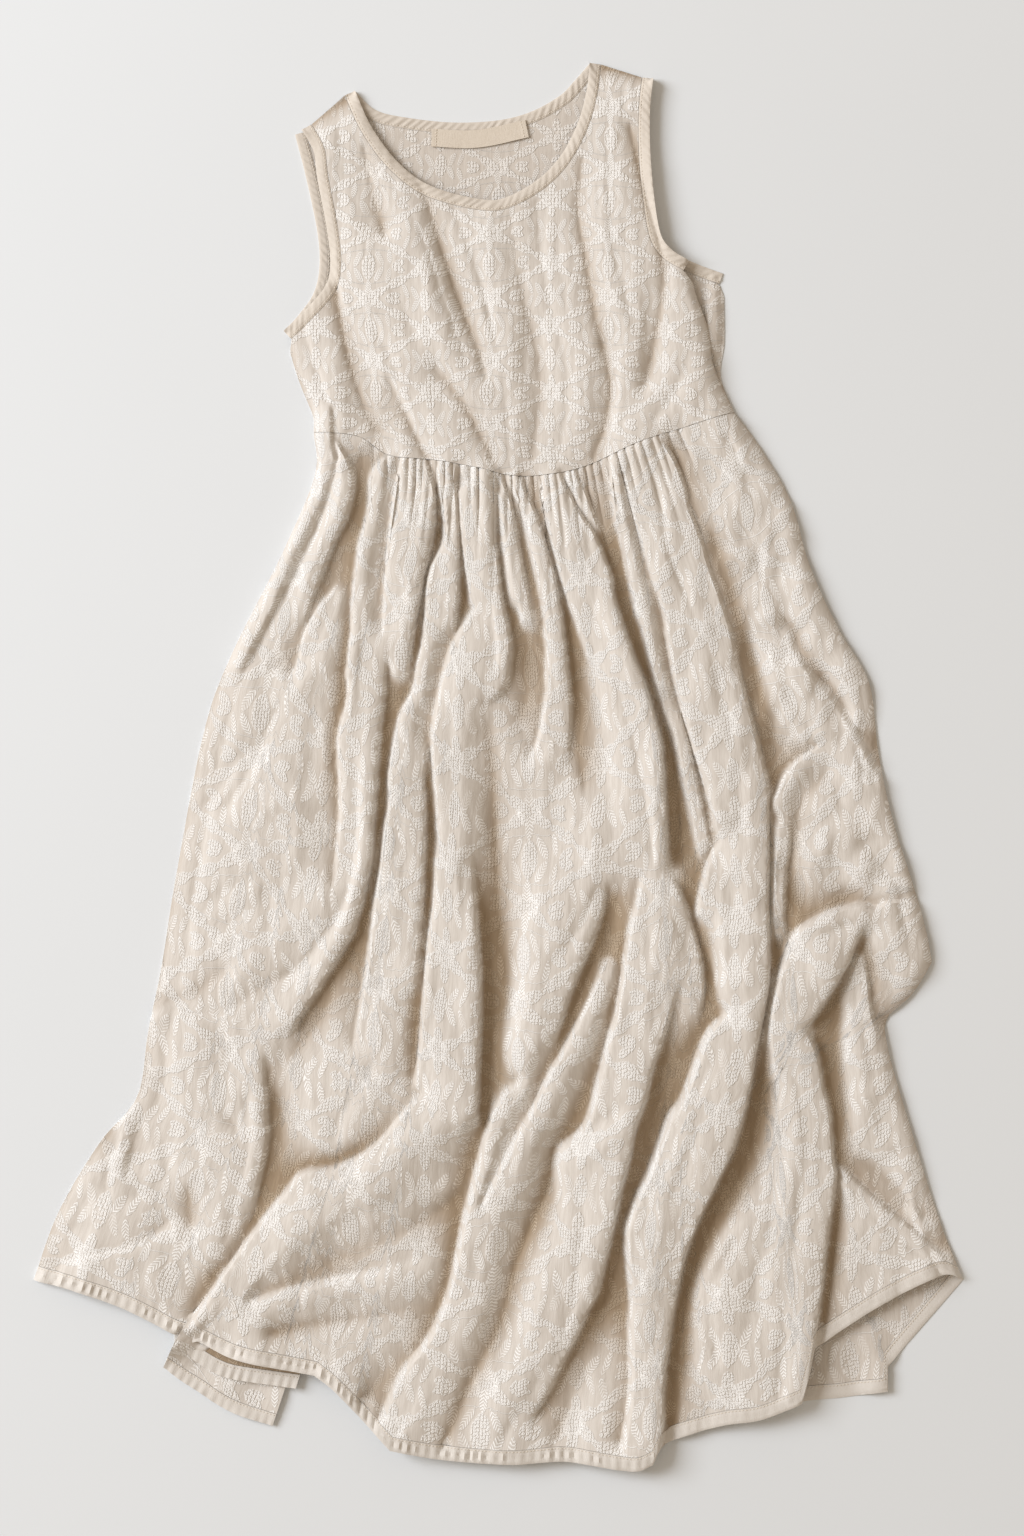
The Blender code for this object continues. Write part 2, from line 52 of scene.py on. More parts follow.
# ---------------------------------------------------------------- sizes
CLOTH = 1.0                 # thickness of the crinkled cotton
TRIM = 2.0                  # of the bindings and hems
HEM_RISE = 1.5              # how far the turned-up hem's face stands above its underside
SEAM_GAP = 0.3
BINDING_WIDTH = 10
HEM_WIDTH = 13
STEEPEST = 2.4              # most that a slope may thicken a wall, as a factor
FRONT_LEVEL = 2.4           # lowest underside of the front
LOWEST = 0.35 * FRONT_LEVEL     # the least that wrinkles and gathers leave of it
NECK_LEVEL = 4.4            # underside along the neck
ARMHOLE_LEVELS = 5.0, 7.5   # and along the left and the right armhole
SEAM_LEVEL = 0.9            # what pulls the front down onto the back at its seams
CURVE_STEPS = 24            # points between two given points of a curve

# The field of the front's heights.
FIELD_LOW = np.array((-440.0, -650.0))
FIELD_SIZE = np.array((880.0, 1300.0))
CELLS = (48, 24, 12, 6, 3, 1.5)     # its grids, coarse to fine
CELL = CELLS[-1]
SHAPE = tuple((FIELD_SIZE / CELL).astype(int) + 2)
X, Y = (FIELD_LOW[k] + CELL * np.arange(SHAPE[k]) for k in (0, 1))
SWEEPS = 70                 # times that each grid is relaxed
PIN_STRENGTH = 12           # how firmly the lines hold it
FREE_END = 40               # a fold line lets go over this much of an end inside a panel
FREE_HOLD = 0.01            # the least that is left of its hold there, before it is squared
NEAR_EDGE = 34              # an end this close to an outline or the waist isn't free
EDGE_RUN = 3.0              # how far a folded edge takes to fall from its top to its foot
SOFT_RUN = {1: 1, -1: 3}    # what that gains towards the hem, by the edge's side
CRISP_ABOVE = 50            # where it begins to gain
SOFTENING = 400             # and over how much of the skirt
SHELF = {1: (8, 1.2), -1: (5, 0.4)}     # by side: how far inside its top the cloth rises, how far up
SHELF_HOLD = 0.5
RIM = 18                    # how far inside an outline the folded edge is full
RIM_HOLD = 0.6
FULLY_OPEN = 2              # cloth rises from a line this open as a round tube does
SWELL = 0.011               # how strongly cloth between two fold lines rounds up, per millimetre
SWELL_MOST = 3.0
ROUNDING = 0.8
FULLNESS = 1.1, 1.6         # scales the folds' heights, in the skirt and in the bodice
BODICE_BEGINS = 260, 310
SNAP = 1.1, 3.2             # mesh points this close to a folded edge move onto it, or towards it
SNAP_STEP = 0.7             # spacing of the points that they are measured from
SNAP_CELLS = 3              # how many cells round those are searched
SNAP_INSIDE = 1, 5          # how many points inside a panel's rim it begins, and is full

# Small creases and unevenness.
CREASE_STEP = 3             # spacing of a crease's points
CREASE_REACH = 3            # how many of its widths it is worked out to
CREASE_END = 0.15           # its depth at its ends, as a share of the whole
Uneven = namedtuple("Uneven", "height seed across down")    # the last two: how large its features are
LOOSE = Uneven(0.9, 3, 12, 24), Uneven(0.35, 4, 5, 14)
LOOSENESS = 1.0, 0.7        # scales that, in the skirt and in the bodice
CLOSE = Uneven(0.16, 5, 1.9, 8), Uneven(0.8, 7, 20, 38)
CRUMPLE = Uneven(1.0, 6, 6, 8)
CRUMPLED = (140, 220), (-260, -150)     # from where to where, across and up, it begins
CALM_RISE = 3               # wrinkles fade where the front is this little above its seams
CALM_BLUR = 4

# Painted shade: what lies deep in a fold is tinted darker and warmer, standing in for the shade that
# falls there.
CAVITY = 26                 # how widely a place is compared with what is round it
CAVITY_DEPTH = 7            # how far below its surroundings it counts as deep
CAVITY_BLUR = 1.5
BACK_PAINTED_SHADE = 0.25           # painted shade of the back, which lies flat and in the front's shade

# How the pattern lies on the cloth.
FLARE = 0.5                 # how far the cloth's grain follows the panel's flare
HIDDEN = (0.7, 0.5)         # how far the pattern shifts for each millimetre of a fold's height

# ---------------------------------------------------------------- outlines, millimetres
SHOULDER_LEFT = ((-129, 607), (-183, 568))
SHOULDER_RIGHT = ((82, 632), (139, 618))
NECK_FRONT = ((-129, 607), (-114, 574), (-90, 542), (-61, 521), (-16, 509), (8, 511),
              (37, 528), (57, 550), (71, 577), (79, 606), (82, 632))
NECK_BACK = ((-129, 607), (-110, 590), (-80, 583), (-40, 579), (0, 581), (30, 589),
             (55, 603), (68, 616), (82, 632))
ARMHOLE_LEFT_FRONT = ((-177, 572), (-166, 552), (-163, 529), (-154, 481), (-151, 450),
                      (-156, 430), (-174, 409), (-193, 391))
ARMHOLE_LEFT_BACK = ((-183, 568), (-173, 529), (-163, 481), (-161, 450), (-166, 426),
                     (-178, 408), (-193, 391))
ARMHOLE_RIGHT_FRONT = ((139, 618), (136, 590), (136, 555), (139, 515), (145, 478),
                       (155, 463), (171, 453))
ARMHOLE_RIGHT_BACK = ((139, 618), (136, 590), (136, 555), (139, 515), (145, 478),
                      (155, 463), (178, 452), (202, 443))
SIDE_LEFT = ((-193, 391), (-180, 348), (-167, 315), (-166, 300))
SIDE_RIGHT_FRONT = ((171, 453), (178, 423), (188, 395), (191, 375), (194, 358), (212, 318))
SIDE_RIGHT_BACK = ((202, 443), (203, 410), (203, 380), (200, 350), (212, 318))
WAIST_FRONT = ((-166, 300), (-126, 296), (-98, 279), (-60, 275), (-20, 268), (12, 261),
               (45, 262), (80, 270), (127, 291), (171, 305), (212, 318))
LABEL_TOP = ((-60, 573), (-20, 572), (24, 581))
WAIST_BACK = ((-166, 300), (-60, 284), (40, 280), (130, 296), (212, 318))
SKIRT_LEFT = ((-166, 300), (-165, 262), (-195, 190), (-240, 100), (-265, 30), (-290, -100),
              (-303, -180), (-315, -240), (-325, -298), (-358, -338), (-395, -400), (-418, -462))
SKIRT_RIGHT = (((212, 318), (233, 290), (262, 240), (280, 180), (305, 125), (333, 75),
                (342, 10), (355, -50), (380, -130), (390, -176)),
               ((390, -176), (372, -205), (346, -228)),
               ((346, -228), (352, -262), (372, -330), (397, -410), (418, -462)))
HEM_FRONT = (((-418, -462), (-380, -471), (-335, -487), (-292, -509)),
             ((-292, -509), (-268, -517), (-240, -530), (-205, -538), (-165, -546)),
             ((-165, -546), (-148, -559), (-125, -583), (-97, -613)),
             ((-97, -613), (-50, -622), (10, -626), (60, -624), (118, -632), (138, -626)),
             ((138, -626), (150, -609), (200, -592), (235, -586), (272, -571)),
             ((272, -571), (284, -523)),
             ((284, -523), (310, -505), (350, -480), (398, -457), (418, -462)))
HEM_BACK = (((-418, -462), (-380, -468), (-335, -482), (-290, -502)),
            ((-290, -502), (-286, -528), (-215, -576)),
            ((-215, -576), (-198, -556), (-178, -538)),
            ((-178, -538), (-150, -550), (-97, -600), (-50, -612), (60, -614), (130, -612),
             (200, -586), (272, -572), (310, -568), (350, -562)),
            ((350, -562), (350, -540)),
            ((350, -540), (385, -500), (418, -462)))

# What holds the front down: the height there, and how open the cloth's rise from it is.
Pinned = namedtuple("Pinned", "outline level open")
PINNED = tuple(Pinned(*row) for row in (
    (SIDE_LEFT, SEAM_LEVEL, 2), (SKIRT_LEFT, SEAM_LEVEL, 2), (SIDE_RIGHT_FRONT, SEAM_LEVEL, 2),
    (SHOULDER_LEFT, SEAM_LEVEL, 1.5), (SHOULDER_RIGHT, SEAM_LEVEL, 1.5),
    (NECK_FRONT, NECK_LEVEL, 0.6), (ARMHOLE_LEFT_FRONT, ARMHOLE_LEVELS[0], 0.6),
    (ARMHOLE_RIGHT_FRONT, ARMHOLE_LEVELS[1], 0.6),
    *((part, SEAM_LEVEL, 2) for part in SKIRT_RIGHT)))

# Sides that are folded edges: the hand that the panel is on (1 right, -1 left), and its height.
Rim = namedtuple("Rim", "outline turn level")
RIMS = tuple(Rim(*row) for row in (
    (SKIRT_LEFT, -1, 4.8), (SKIRT_RIGHT[0], 1, 9), (SKIRT_RIGHT[2], 1, 7), (SIDE_LEFT, -1, 5)))

# Where the back shows beside the front it has a fold.
BackFold = namedtuple("BackFold", "middle half_size high")
BACK_FOLDS = tuple(BackFold(*row) for row in (
    ((336, -536), (16, 42), 3.0), ((193, 402), (9, 46), 4.5), ((306, -540), (9, 30), 2.0),
    ((356, -556), (30, 34), 5.0)))

# ---------------------------------------------------------------- folds
# Heights are spread evenly along each line.
# An edge is where a fold lies over the cloth beside it, which is low on its left hand
# (side 1, as seen going along the path) or on its right hand (side -1).  Its run is how far
# it takes to fall, where that isn't the usual.
# A crest is a soft ridge.  A valley is a soft trough, or with open 2 a narrow crease.
Edge = namedtuple("Edge", "name side high low path run", defaults=(None,))
Crest = namedtuple("Crest", "name high path")
Valley = namedtuple("Valley", "name low open path")

EDGES = tuple(Edge(*row) for row in (
    # waist to middle, left to right
    ("strip", 1, (8, 11, 10, 7), (4, 2.5, 3, 4), ((-146, 290), (-137, 274), (-132, 258), (-133, 244),
     (-139, 222), (-149, 202), (-171, 143), (-175, 125))),
    ("left ridge", -1, (6, 9, 8), (3, 3, 5), ((-143, 162), (-158, 145), (-168, 128), (-175, 110),
     (-178, 94), (-187, 76))),
    ("first, left", -1, (9, 14, 15, 14, 10), (3, 3, 3.5, 5, 8), ((-100, 276), (-109, 268), (-114, 256),
     (-114, 238), (-118, 217), (-124, 194), (-130, 145), (-131, 113), (-134, 88), (-134, 58),
     (-140, 37), (-142, 10), (-140, -39), (-146, -110))),
    ("first, right", 1, (13, 15, 15, 13), (8, 3, 3, 5), ((-102, 96), (-104, 64), (-108, 29),
     (-114, -58), (-116, -88), (-129, -139), (-139, -161), (-164, -201), (-179, -223), (-188, -240))),
    ("second, left", -1, (9, 13, 14, 13), (6, 6, 7, 9), ((-87, 274), (-94, 228), (-99, 179),
     (-102, 116))),
    ("second, right", 1, (9, 14, 15, 12), (4, 3, 3, 8), ((-65, 270), (-60, 251), (-58, 230), (-61, 202),
     (-79, 113), (-84, 76))),
    ("third, left", -1, (8, 13, 15, 15, 15, 13, 11), (4, 4, 6, 3, 3, 5, 8), ((-54, 262), (-48, 219),
     (-50, 198), (-62, 174), (-64, 155), (-66, 117), (-72, 88), (-75, 68), (-85, 49), (-91, 29),
     (-97, -10), (-96, -29), (-101, -59), (-104, -88), (-109, -120), (-115, -176), (-124, -238),
     (-125, -257))),
    ("third, right, upper", 1, (9, 13, 14), (6, 5, 4), ((-41, 268), (-37, 202), (-38, 145), (-41, 118))),
    ("third, right, lower", 1, (12, 14, 13, 11), (9, 3, 3, 7), ((-64, 20), (-69, -14), (-67, -35),
     (-70, -120), (-75, -181), (-77, -200))),
    ("fourth, left", -1, (10, 13, 13), (6, 5, 4), ((-34, 245), (-31, 202), (-23, 143))),
    ("sweep, left", -1, (12, 16, 17, 17, 15), (7, 9, 4, 4, 9), ((-16, 144), (-25, 133), (-40, 107),
     (-46, 88), (-55, 45), (-57, 10), (-52, -59), (-54, -88), (-56, -125), (-61, -159), (-69, -259),
     (-74, -288)), 4.0),
    ("fourth, right", 1, (9, 12, 13, 15, 15, 12), (5, 5, 4, 5, 6, 10), ((-5, 262), (-4, 230), (-4, 202),
     (2, 150), (7, 125), (9, 104), (5, 74), (-5, 61), (-17, 58))),
    ("sweep, right", 1, (11, 17, 18, 19, 18), (8, 4, 3, 2.5, 3), ((-24, -80), (-24, -103), (-18, -192),
     (-20, -270), (-22, -322))),
    ("thin fold", 1, (8, 11, 11, 9), (5, 5, 5, 7), ((0, 261), (9, 240), (14, 213), (26, 149), (31, 122))),
    ("fifth, left", -1, (8, 12, 14, 13, 9), (6, 5, 4, 4, 7), ((10, 259), (22, 230), (27, 208),
     (42, 140), (45, 97), (45, 68), (39, 29), (28, 0))),
    ("fifth, right", 1, (8, 12, 14, 13, 9), (5, 4, 3, 4, 7), ((17, 259), (34, 221), (50, 166),
     (53, 147), (56, 130), (62, 71), (63, 36), (61, 6))),
    ("great, left", -1, (9, 13, 13, 10), (5, 4, 4, 7), ((39, 257), (43, 230), (58, 166), (77, 113),
     (86, 88))),
    ("great, right", 1, (9, 14, 18, 21, 19, 17), (5, 4, 3.5, 3, 3, 6), ((53, 262), (74, 223), (84, 209),
     (99, 172), (103, 148), (120, 98), (131, 71), (144, 25), (147, -10), (150, -79), (152, -94))),
    ("seam fold", 1, (8, 10, 8), (5, 5, 6), ((68, 261), (77, 245), (91, 206))),
    ("dull, left", -1, (9, 12, 12, 11, 9), (6, 4, 4, 4, 6), ((101, 270), (106, 223), (112, 202),
     (124, 141), (131, 121), (140, 82), (150, 48), (159, 22), (171, -33), (184, -88))),
    ("dull, right", 1, (12, 11, 9), (7, 4, 5), ((159, 60), (171, 11), (184, -49), (190, -76))),
    ("broad, left", -1, (9, 12, 15, 16, 15), (7, 6, 6, 4, 4), ((113, 264), (138, 174), (145, 155),
     (151, 130), (154, 105), (165, 55), (187, -18), (193, -38), (196, -58))),
    ("broad, right", 1, (8, 10, 11, 12, 13, 15, 18, 20, 21, 19, 17, 14),
     (4, 5, 5.5, 5.5, 5, 5, 3, 3, 3, 3, 3, 3), ((146, 289), (156, 274), (165, 251), (169, 232),
     (181, 200), (186, 182), (205, 126), (213, 89), (237, -5), (240, -22), (240, -44), (240, -136),
     (241, -175), (239, -205), (228, -262), (225, -282), (212, -334), (192, -377), (176, -411),
     (162, -454), (148, -540), (146, -590), (144, -616)), 4.0),
    # right side
    ("shoulder of the side", 1, (7, 11, 11, 9), (4.5, 4, 4, 3), ((246, 132), (257, 119), (269, 91),
     (296, 61), (309, 41), (341, -15)), 8.0),
    ("side crease", -1, (8, 12, 11), (5, 4, 4), ((293, 20), (263, -3), (248, -31), (247, -44))),
    ("inner strip", 1, (9, 10, 10), (5, 4, 5), ((260, -48), (260, -73), (256, -101), (255, -132),
     (257, -156))),
    ("loop, top", 1, (13, 17, 15, 9), (5, 5, 6, 6), ((262, -161), (271, -147), (292, -135), (310, -129),
     (326, -126), (338, -129), (352, -123), (372, -124))),
    ("loop, left", -1, (14, 17, 16, 12), (5, 5, 7, 9), ((262, -163), (250, -203), (245, -235),
     (249, -276))),
    ("loop, right", 1, (13, 17, 16), (4, 2.5, 3), ((326, -144), (319, -160), (312, -178), (290, -213),
     (274, -234))),
    ("knee", 1, (16, 14, 12, 14, 15, 15, 13), (3, 3, 3, 4, 3, 3, 3), ((276, -240), (284, -259),
     (289, -288), (295, -311), (299, -357), (301, -371), (292, -434), (289, -463), (281, -520),
     (276, -556), (271, -572)), 4.0),
    ("side flap", 1, (7, 9, 7), (4, 2.5, 3), ((325, -166), (330, -190), (333, -219), (339, -242))),
    ("corner panel", 1, (8, 9, 8), (3.5, 3, 3), ((301, -355), (330, -383), (380, -425), (398, -440)),
     3.0),
    # lower middle
    ("lower great, left", -1, (14, 18, 19, 18, 16), (11, 6, 4, 3, 3), ((132, -95), (126, -125),
     (120, -147), (109, -219), (103, -239), (91, -288), (80, -324), (56, -346))),
    ("lower great, right", 1, (15, 13, 13, 9), (6, 4, 4, 6), ((155, -101), (166, -125), (179, -168),
     (182, -196), (181, -213), (177, -228))),
    ("inner great, right", 1, (14, 18, 20, 19, 18, 14, 10), (12, 8, 4, 4, 4, 5, 5), ((160, -196),
     (149, -233), (137, -268), (129, -302), (120, -327), (115, -353), (108, -380), (102, -410),
     (90, -460), (85, -476), (77, -491), (69, -509), (53, -540), (45, -558), (27, -588))),
    ("tail, left", -1, (11, 14, 12), (7, 5, 5), ((201, -67), (194, -78), (187, -97), (178, -138))),
    ("band, left", -1, (16, 20, 21, 20, 18, 16, 13), (5, 4, 3.5, 4, 6, 7, 6), ((208, -226), (190, -243),
     (169, -299), (157, -316), (140, -362), (129, -385), (120, -408), (118, -425), (123, -480),
     (122, -503), (122, -562), (115, -610)), 7.0),
    ("left sweep, right", 1, (10, 14, 14, 12), (8, 4, 3, 6), ((97, -103), (88, -143), (64, -201),
     (55, -228), (46, -250))),
    ("left sweep, left", -1, (12, 15, 17, 18, 17, 14, 12), (9, 4, 3, 5, 6, 7, 7), ((28, -284),
     (10, -293), (-1, -309), (-8, -327), (-13, -350), (-26, -400), (-37, -454), (-44, -480),
     (-60, -515), (-85, -548), (-103, -587))),
    ("inner sweep, left", -1, (9, 15, 17, 17, 17), (7, 4, 6, 10, 14), ((99, -172), (84, -210),
     (59, -259), (50, -273), (32, -311), (18, -335), (-5, -380), (-15, -402)), 5.0),
    # lower left
    ("sweep, top", -1, (17, 17, 15, 15, 16, 17, 17), (14, 11, 6, 3, 3, 3, 4), ((-62, -292), (-80, -308),
     (-109, -341), (-144, -361), (-174, -366), (-190, -384), (-226, -430), (-262, -482), (-272, -497)),
     4.0),
    ("left panel, right", 1, (9, 10, 10, 10), (5, 3, 2.5, 4), ((-212, -262), (-209, -322), (-211, -346),
     (-222, -396)), 3.0),
    ("roll", -1, (11, 15, 16, 15, 14), (11, 10, 9, 9, 10), ((-60, -444), (-100, -455), (-140, -462),
     (-161, -467), (-193, -473), (-226, -485)), 6.0),
    ("left hem", -1, (5, 7, 6), (3, 3.5, 4.5), ((-331, -300), (-336, -318), (-338, -337), (-344, -358),
     (-346, -376), (-344, -390)))))

CRESTS = tuple(Crest(*row) for row in (
    # bodice, left to right
    ("side strip", (6, 7, 9), ((-172, 392), (-152, 330), (-152, 262))),
    ("armhole", (6, 8, 8), ((-146, 545), (-140, 430), (-110, 390), (-85, 340), (-60, 290))),
    ("left chest", (6, 9, 8), ((-100, 530), (-70, 480), (-45, 410), (-15, 330))),
    ("centre left", (5, 7, 7), ((-40, 500), (-18, 440), (4, 350), (8, 275))),
    ("centre", (5, 7, 7), ((34, 508), (42, 430), (62, 350), (54, 272))),
    ("right chest", (6, 8, 8), ((100, 600), (100, 480), (118, 400), (110, 300))),
    ("right side", (7, 9, 8), ((160, 445), (172, 395), (165, 350), (140, 310))),
    # skirt, waist to middle, left to right
    ("strip", (9, 10, 9), ((-152, 280), (-160, 240), (-185, 190), (-205, 140), (-232, 90))),
    ("left ridge", (7, 10, 9, 8, 6), ((-142, 158), (-149, 140), (-160, 118), (-171, 90), (-190, 68),
     (-206, 37), (-222, 0), (-245, -40))),
    ("first", (14, 14, 12, 11, 10), ((-122, 150), (-124, 60), (-127, 0), (-128, -60), (-136, -115),
     (-158, -155), (-195, -200), (-225, -230))),
    ("sweep", (15, 17, 17, 19, 20, 20, 19, 18, 17), ((-40, 60), (-42, 0), (-38, -60), (-36, -140),
     (-36, -220), (-28, -272), (-34, -300), (-56, -313), (-80, -326), (-98, -342), (-158, -390),
     (-184, -413), (-208, -443), (-228, -472), (-250, -500))),
    ("fourth", (11, 14, 15, 13), ((-18, 250), (-14, 200), (-3, 110), (-4, 80))),
    ("great", (12, 16, 18, 17, 14), ((80, 150), (112, 50), (126, 0), (134, -50), (140, -90))),
    ("tail", (13, 15, 16), ((207, -100), (204, -180), (208, -214))),
    ("left sweep", (11, 14, 15, 15), ((90, -107), (72, -147), (50, -174), (39, -201), (28, -228),
     (23, -259), (25, -276))),
    ("knee ridge", (15, 15, 16, 16, 14, 12, 11), ((58, -348), (64, -372), (71, -388), (75, -406),
     (70, -445), (66, -484), (58, -513), (46, -538), (14, -585), (2, -609))),
    ("lower sweep", (17, 17, 15, 12), ((-12, -420), (-25, -470), (-45, -520), (-72, -560), (-90, -596))),
    # right side
    ("side drape", (7, 9, 8), ((206, 296), (226, 250), (232, 190), (240, 160))),
    ("side ridge", (7, 11, 10, 8), ((235, 130), (237, 115), (246, 98), (259, 65), (272, 43), (287, 27))),
    ("inner strip", (9, 10, 9), ((252, -60), (251, -130), (253, -156))),
    ("side panel", (7, 9, 7), ((300, -20), (340, -85), (362, -110))),
    ("loop", (16, 17, 16, 14), ((262, -175), (280, -158), (305, -145), (322, -140))),
    ("side flap", (7, 9, 8, 7), ((322, -170), (322, -220), (330, -275), (345, -330))),
    ("knee", (14, 14, 14, 15, 14, 12), ((262, -262), (270, -300), (276, -340), (270, -400), (262, -450),
     (256, -510), (250, -566))),
    ("small diagonal", (9, 11, 9), ((214, -418), (197, -452), (187, -470), (190, -500), (197, -545))),
    ("corner panel", (8, 9, 7), ((318, -385), (345, -410), (380, -438))),
    # lower left
    ("small roll", (10, 12, 11, 9), ((-112, -262), (-118, -278), (-141, -314), (-149, -344))),
    ("notch ridge", (6, 8, 8), ((-314, -228), (-282, -223), (-245, -218), (-208, -196), (-174, -181))),
    ("left hem", (4, 7.5, 7, 5), ((-344, -399), (-327, -385), (-307, -377), (-298, -358), (-303, -333))),
    ("left hem ridge", (4, 7, 7, 5), ((-405, -445), (-358, -436), (-327, -428), (-307, -418),
     (-290, -402))),
    ("left panel", (8, 9, 9, 7), ((-225, -290), (-226, -346), (-234, -380), (-243, -420), (-253, -444))),
    ("mouth lip", (9, 12, 10), ((-289, -509), (-240, -525), (-166, -541)))))

VALLEYS = tuple(Valley(*row) for row in (
    # bodice
    ("side strip", (4, 3, 3), 1, ((-145, 430), (-140, 390), (-130, 350), (-115, 310), (-105, 300))),
    ("armhole", (4, 4.5, 4), 0.5, ((-120, 555), (-112, 510), (-100, 470))),
    ("waist left", (5, 4, 4), 1, ((-100, 350), (-80, 310), (-62, 270))),
    ("left chest", (4, 3.5, 5), 1, ((-85, 545), (-65, 510), (-50, 460), (-35, 415), (-17, 370),
     (-10, 340))),
    ("waist middle", (6, 4, 4), 1, ((-60, 360), (-35, 330), (-12, 290), (-5, 275))),
    ("centre", (5, 5, 5), 0.5, ((10, 495), (20, 430), (38, 350), (30, 275))),
    ("right chest", (4, 3.5, 4), 1, ((75, 545), (72, 500), (78, 460), (88, 400), (100, 350), (97, 310),
     (85, 275))),
    ("right side", (4, 4, 4), 1, ((118, 575), (133, 510), (145, 470), (148, 430), (140, 380),
     (130, 335))),
    # skirt, waist to middle
    ("strip", (2.5, 2.5, 3, 4), 0, ((-122, 280), (-123, 240), (-130, 205), (-140, 180), (-150, 166))),
    ("strip end", (4, 5, 6), 0, ((-182, 112), (-192, 96), (-208, 84))),
    ("second", (3.5, 3, 3), 0, ((-57, 235), (-58, 205), (-73, 150))),
    ("fourth", (4, 4), 0, ((-32, 160), (-30, 145))),
    ("long", (8, 6, 4, 3, 3, 3, 3), 0, ((-10, 44), (-5, 0), (-1, -120), (1, -190), (-3, -240),
     (-6, -290), (-11, -336))),
    ("seventh", (5, 4, 5), 0, ((16, 150), (22, 110), (24, 70), (18, 35))),
    ("wide", (4, 4, 5, 7), 0, ((60, 150), (72, 55), (72, 15), (78, -25))),
    ("great right", (4, 3.5, 3, 3, 4), 0, ((105, 200), (113, 160), (128, 115), (142, 62), (156, -5),
     (160, -50), (166, -90))),
    ("broad, right", (4, 4, 4, 5), 0, ((190, 215), (222, 110), (236, 60), (246, 15), (247, 0))),
    ("slot", (5, 4, 4), 0, ((245, -60), (245, -100), (246, -155))),
    # skirt, right side and hem
    ("under the crease", (5, 6, 5, 4), 0.5, ((300, -2), (275, -28), (266, -60), (264, -100),
     (268, -136))),
    ("above the loop", (6, 5, 6), 0.5, ((280, -122), (305, -116), (330, -110))),
    ("pocket", (4, 3.5), 0, ((334, -142), (334, -158))),
    ("loop", (3, 2.5, 3, 3), 0, ((308, -212), (303, -240), (306, -290), (310, -335))),
    ("corner", (3, 3, 3), 0, ((322, -352), (350, -372), (385, -405))),
    ("corner fold", (4, 3, 3), 0.5, ((306, -385), (294, -490), (288, -520))),
    ("tail", (6, 4, 4), 0.5, ((180, -146), (190, -180), (194, -206), (194, -226))),
    ("behind the band", (6, 5, 5, 4, 3), 0, ((238, -270), (236, -300), (226, -340), (208, -385),
     (184, -430), (168, -480), (163, -540), (158, -604))),
    ("terrace", (11, 8, 5), 0.5, ((166, -225), (152, -262), (142, -290))),
    ("between", (4, 4, 5, 6, 6), 0, ((160, -300), (140, -330), (122, -375), (108, -425), (100, -470),
     (76, -540), (50, -608))),
    ("left sweep", (7, 4, 4), 0.5, ((108, -110), (100, -150), (94, -176))),
    ("inner sweep", (5, 5, 4, 3, 3, 5, 6, 6, 6, 5), 0.5, ((103, -200), (94, -250), (80, -290),
     (66, -320), (49, -345), (45, -376), (32, -406), (16, -445), (6, -484), (-5, -513), (-25, -552),
     (-50, -612))),
    ("sweep foot", (5, 7, 9, 9, 10), 0.5, ((-24, -372), (-62, -405), (-110, -428), (-160, -448),
     (-208, -469))),
    ("below the roll", (8, 8, 7), 0.5, ((-60, -480), (-110, -492), (-165, -500), (-205, -508))),
    ("left of the sweep", (7, 7, 6), 0.5, ((-80, -525), (-104, -547), (-124, -570))),
    # lower left
    ("first foot", (4, 5, 7), 0, ((-146, -196), (-165, -232), (-196, -275))),
    ("under the panel", (3, 2.5, 3, 4), 0, ((-200, -290), (-196, -330), (-203, -366), (-214, -398),
     (-226, -424))),
    ("notch", (3.5, 4, 5), 0.5, ((-314, -216), (-287, -208), (-262, -196), (-242, -178))),
    ("left dent", (3.5, 3.5, 4), 0.5, ((-322, -322), (-329, -345), (-335, -372))),
    ("middle dent", (4, 3.5, 4), 0.5, ((-276, -372), (-279, -398), (-274, -420))),
    ("right dent", (5, 4, 5), 0.5, ((-250, -310), (-238, -322), (-232, -334)))))

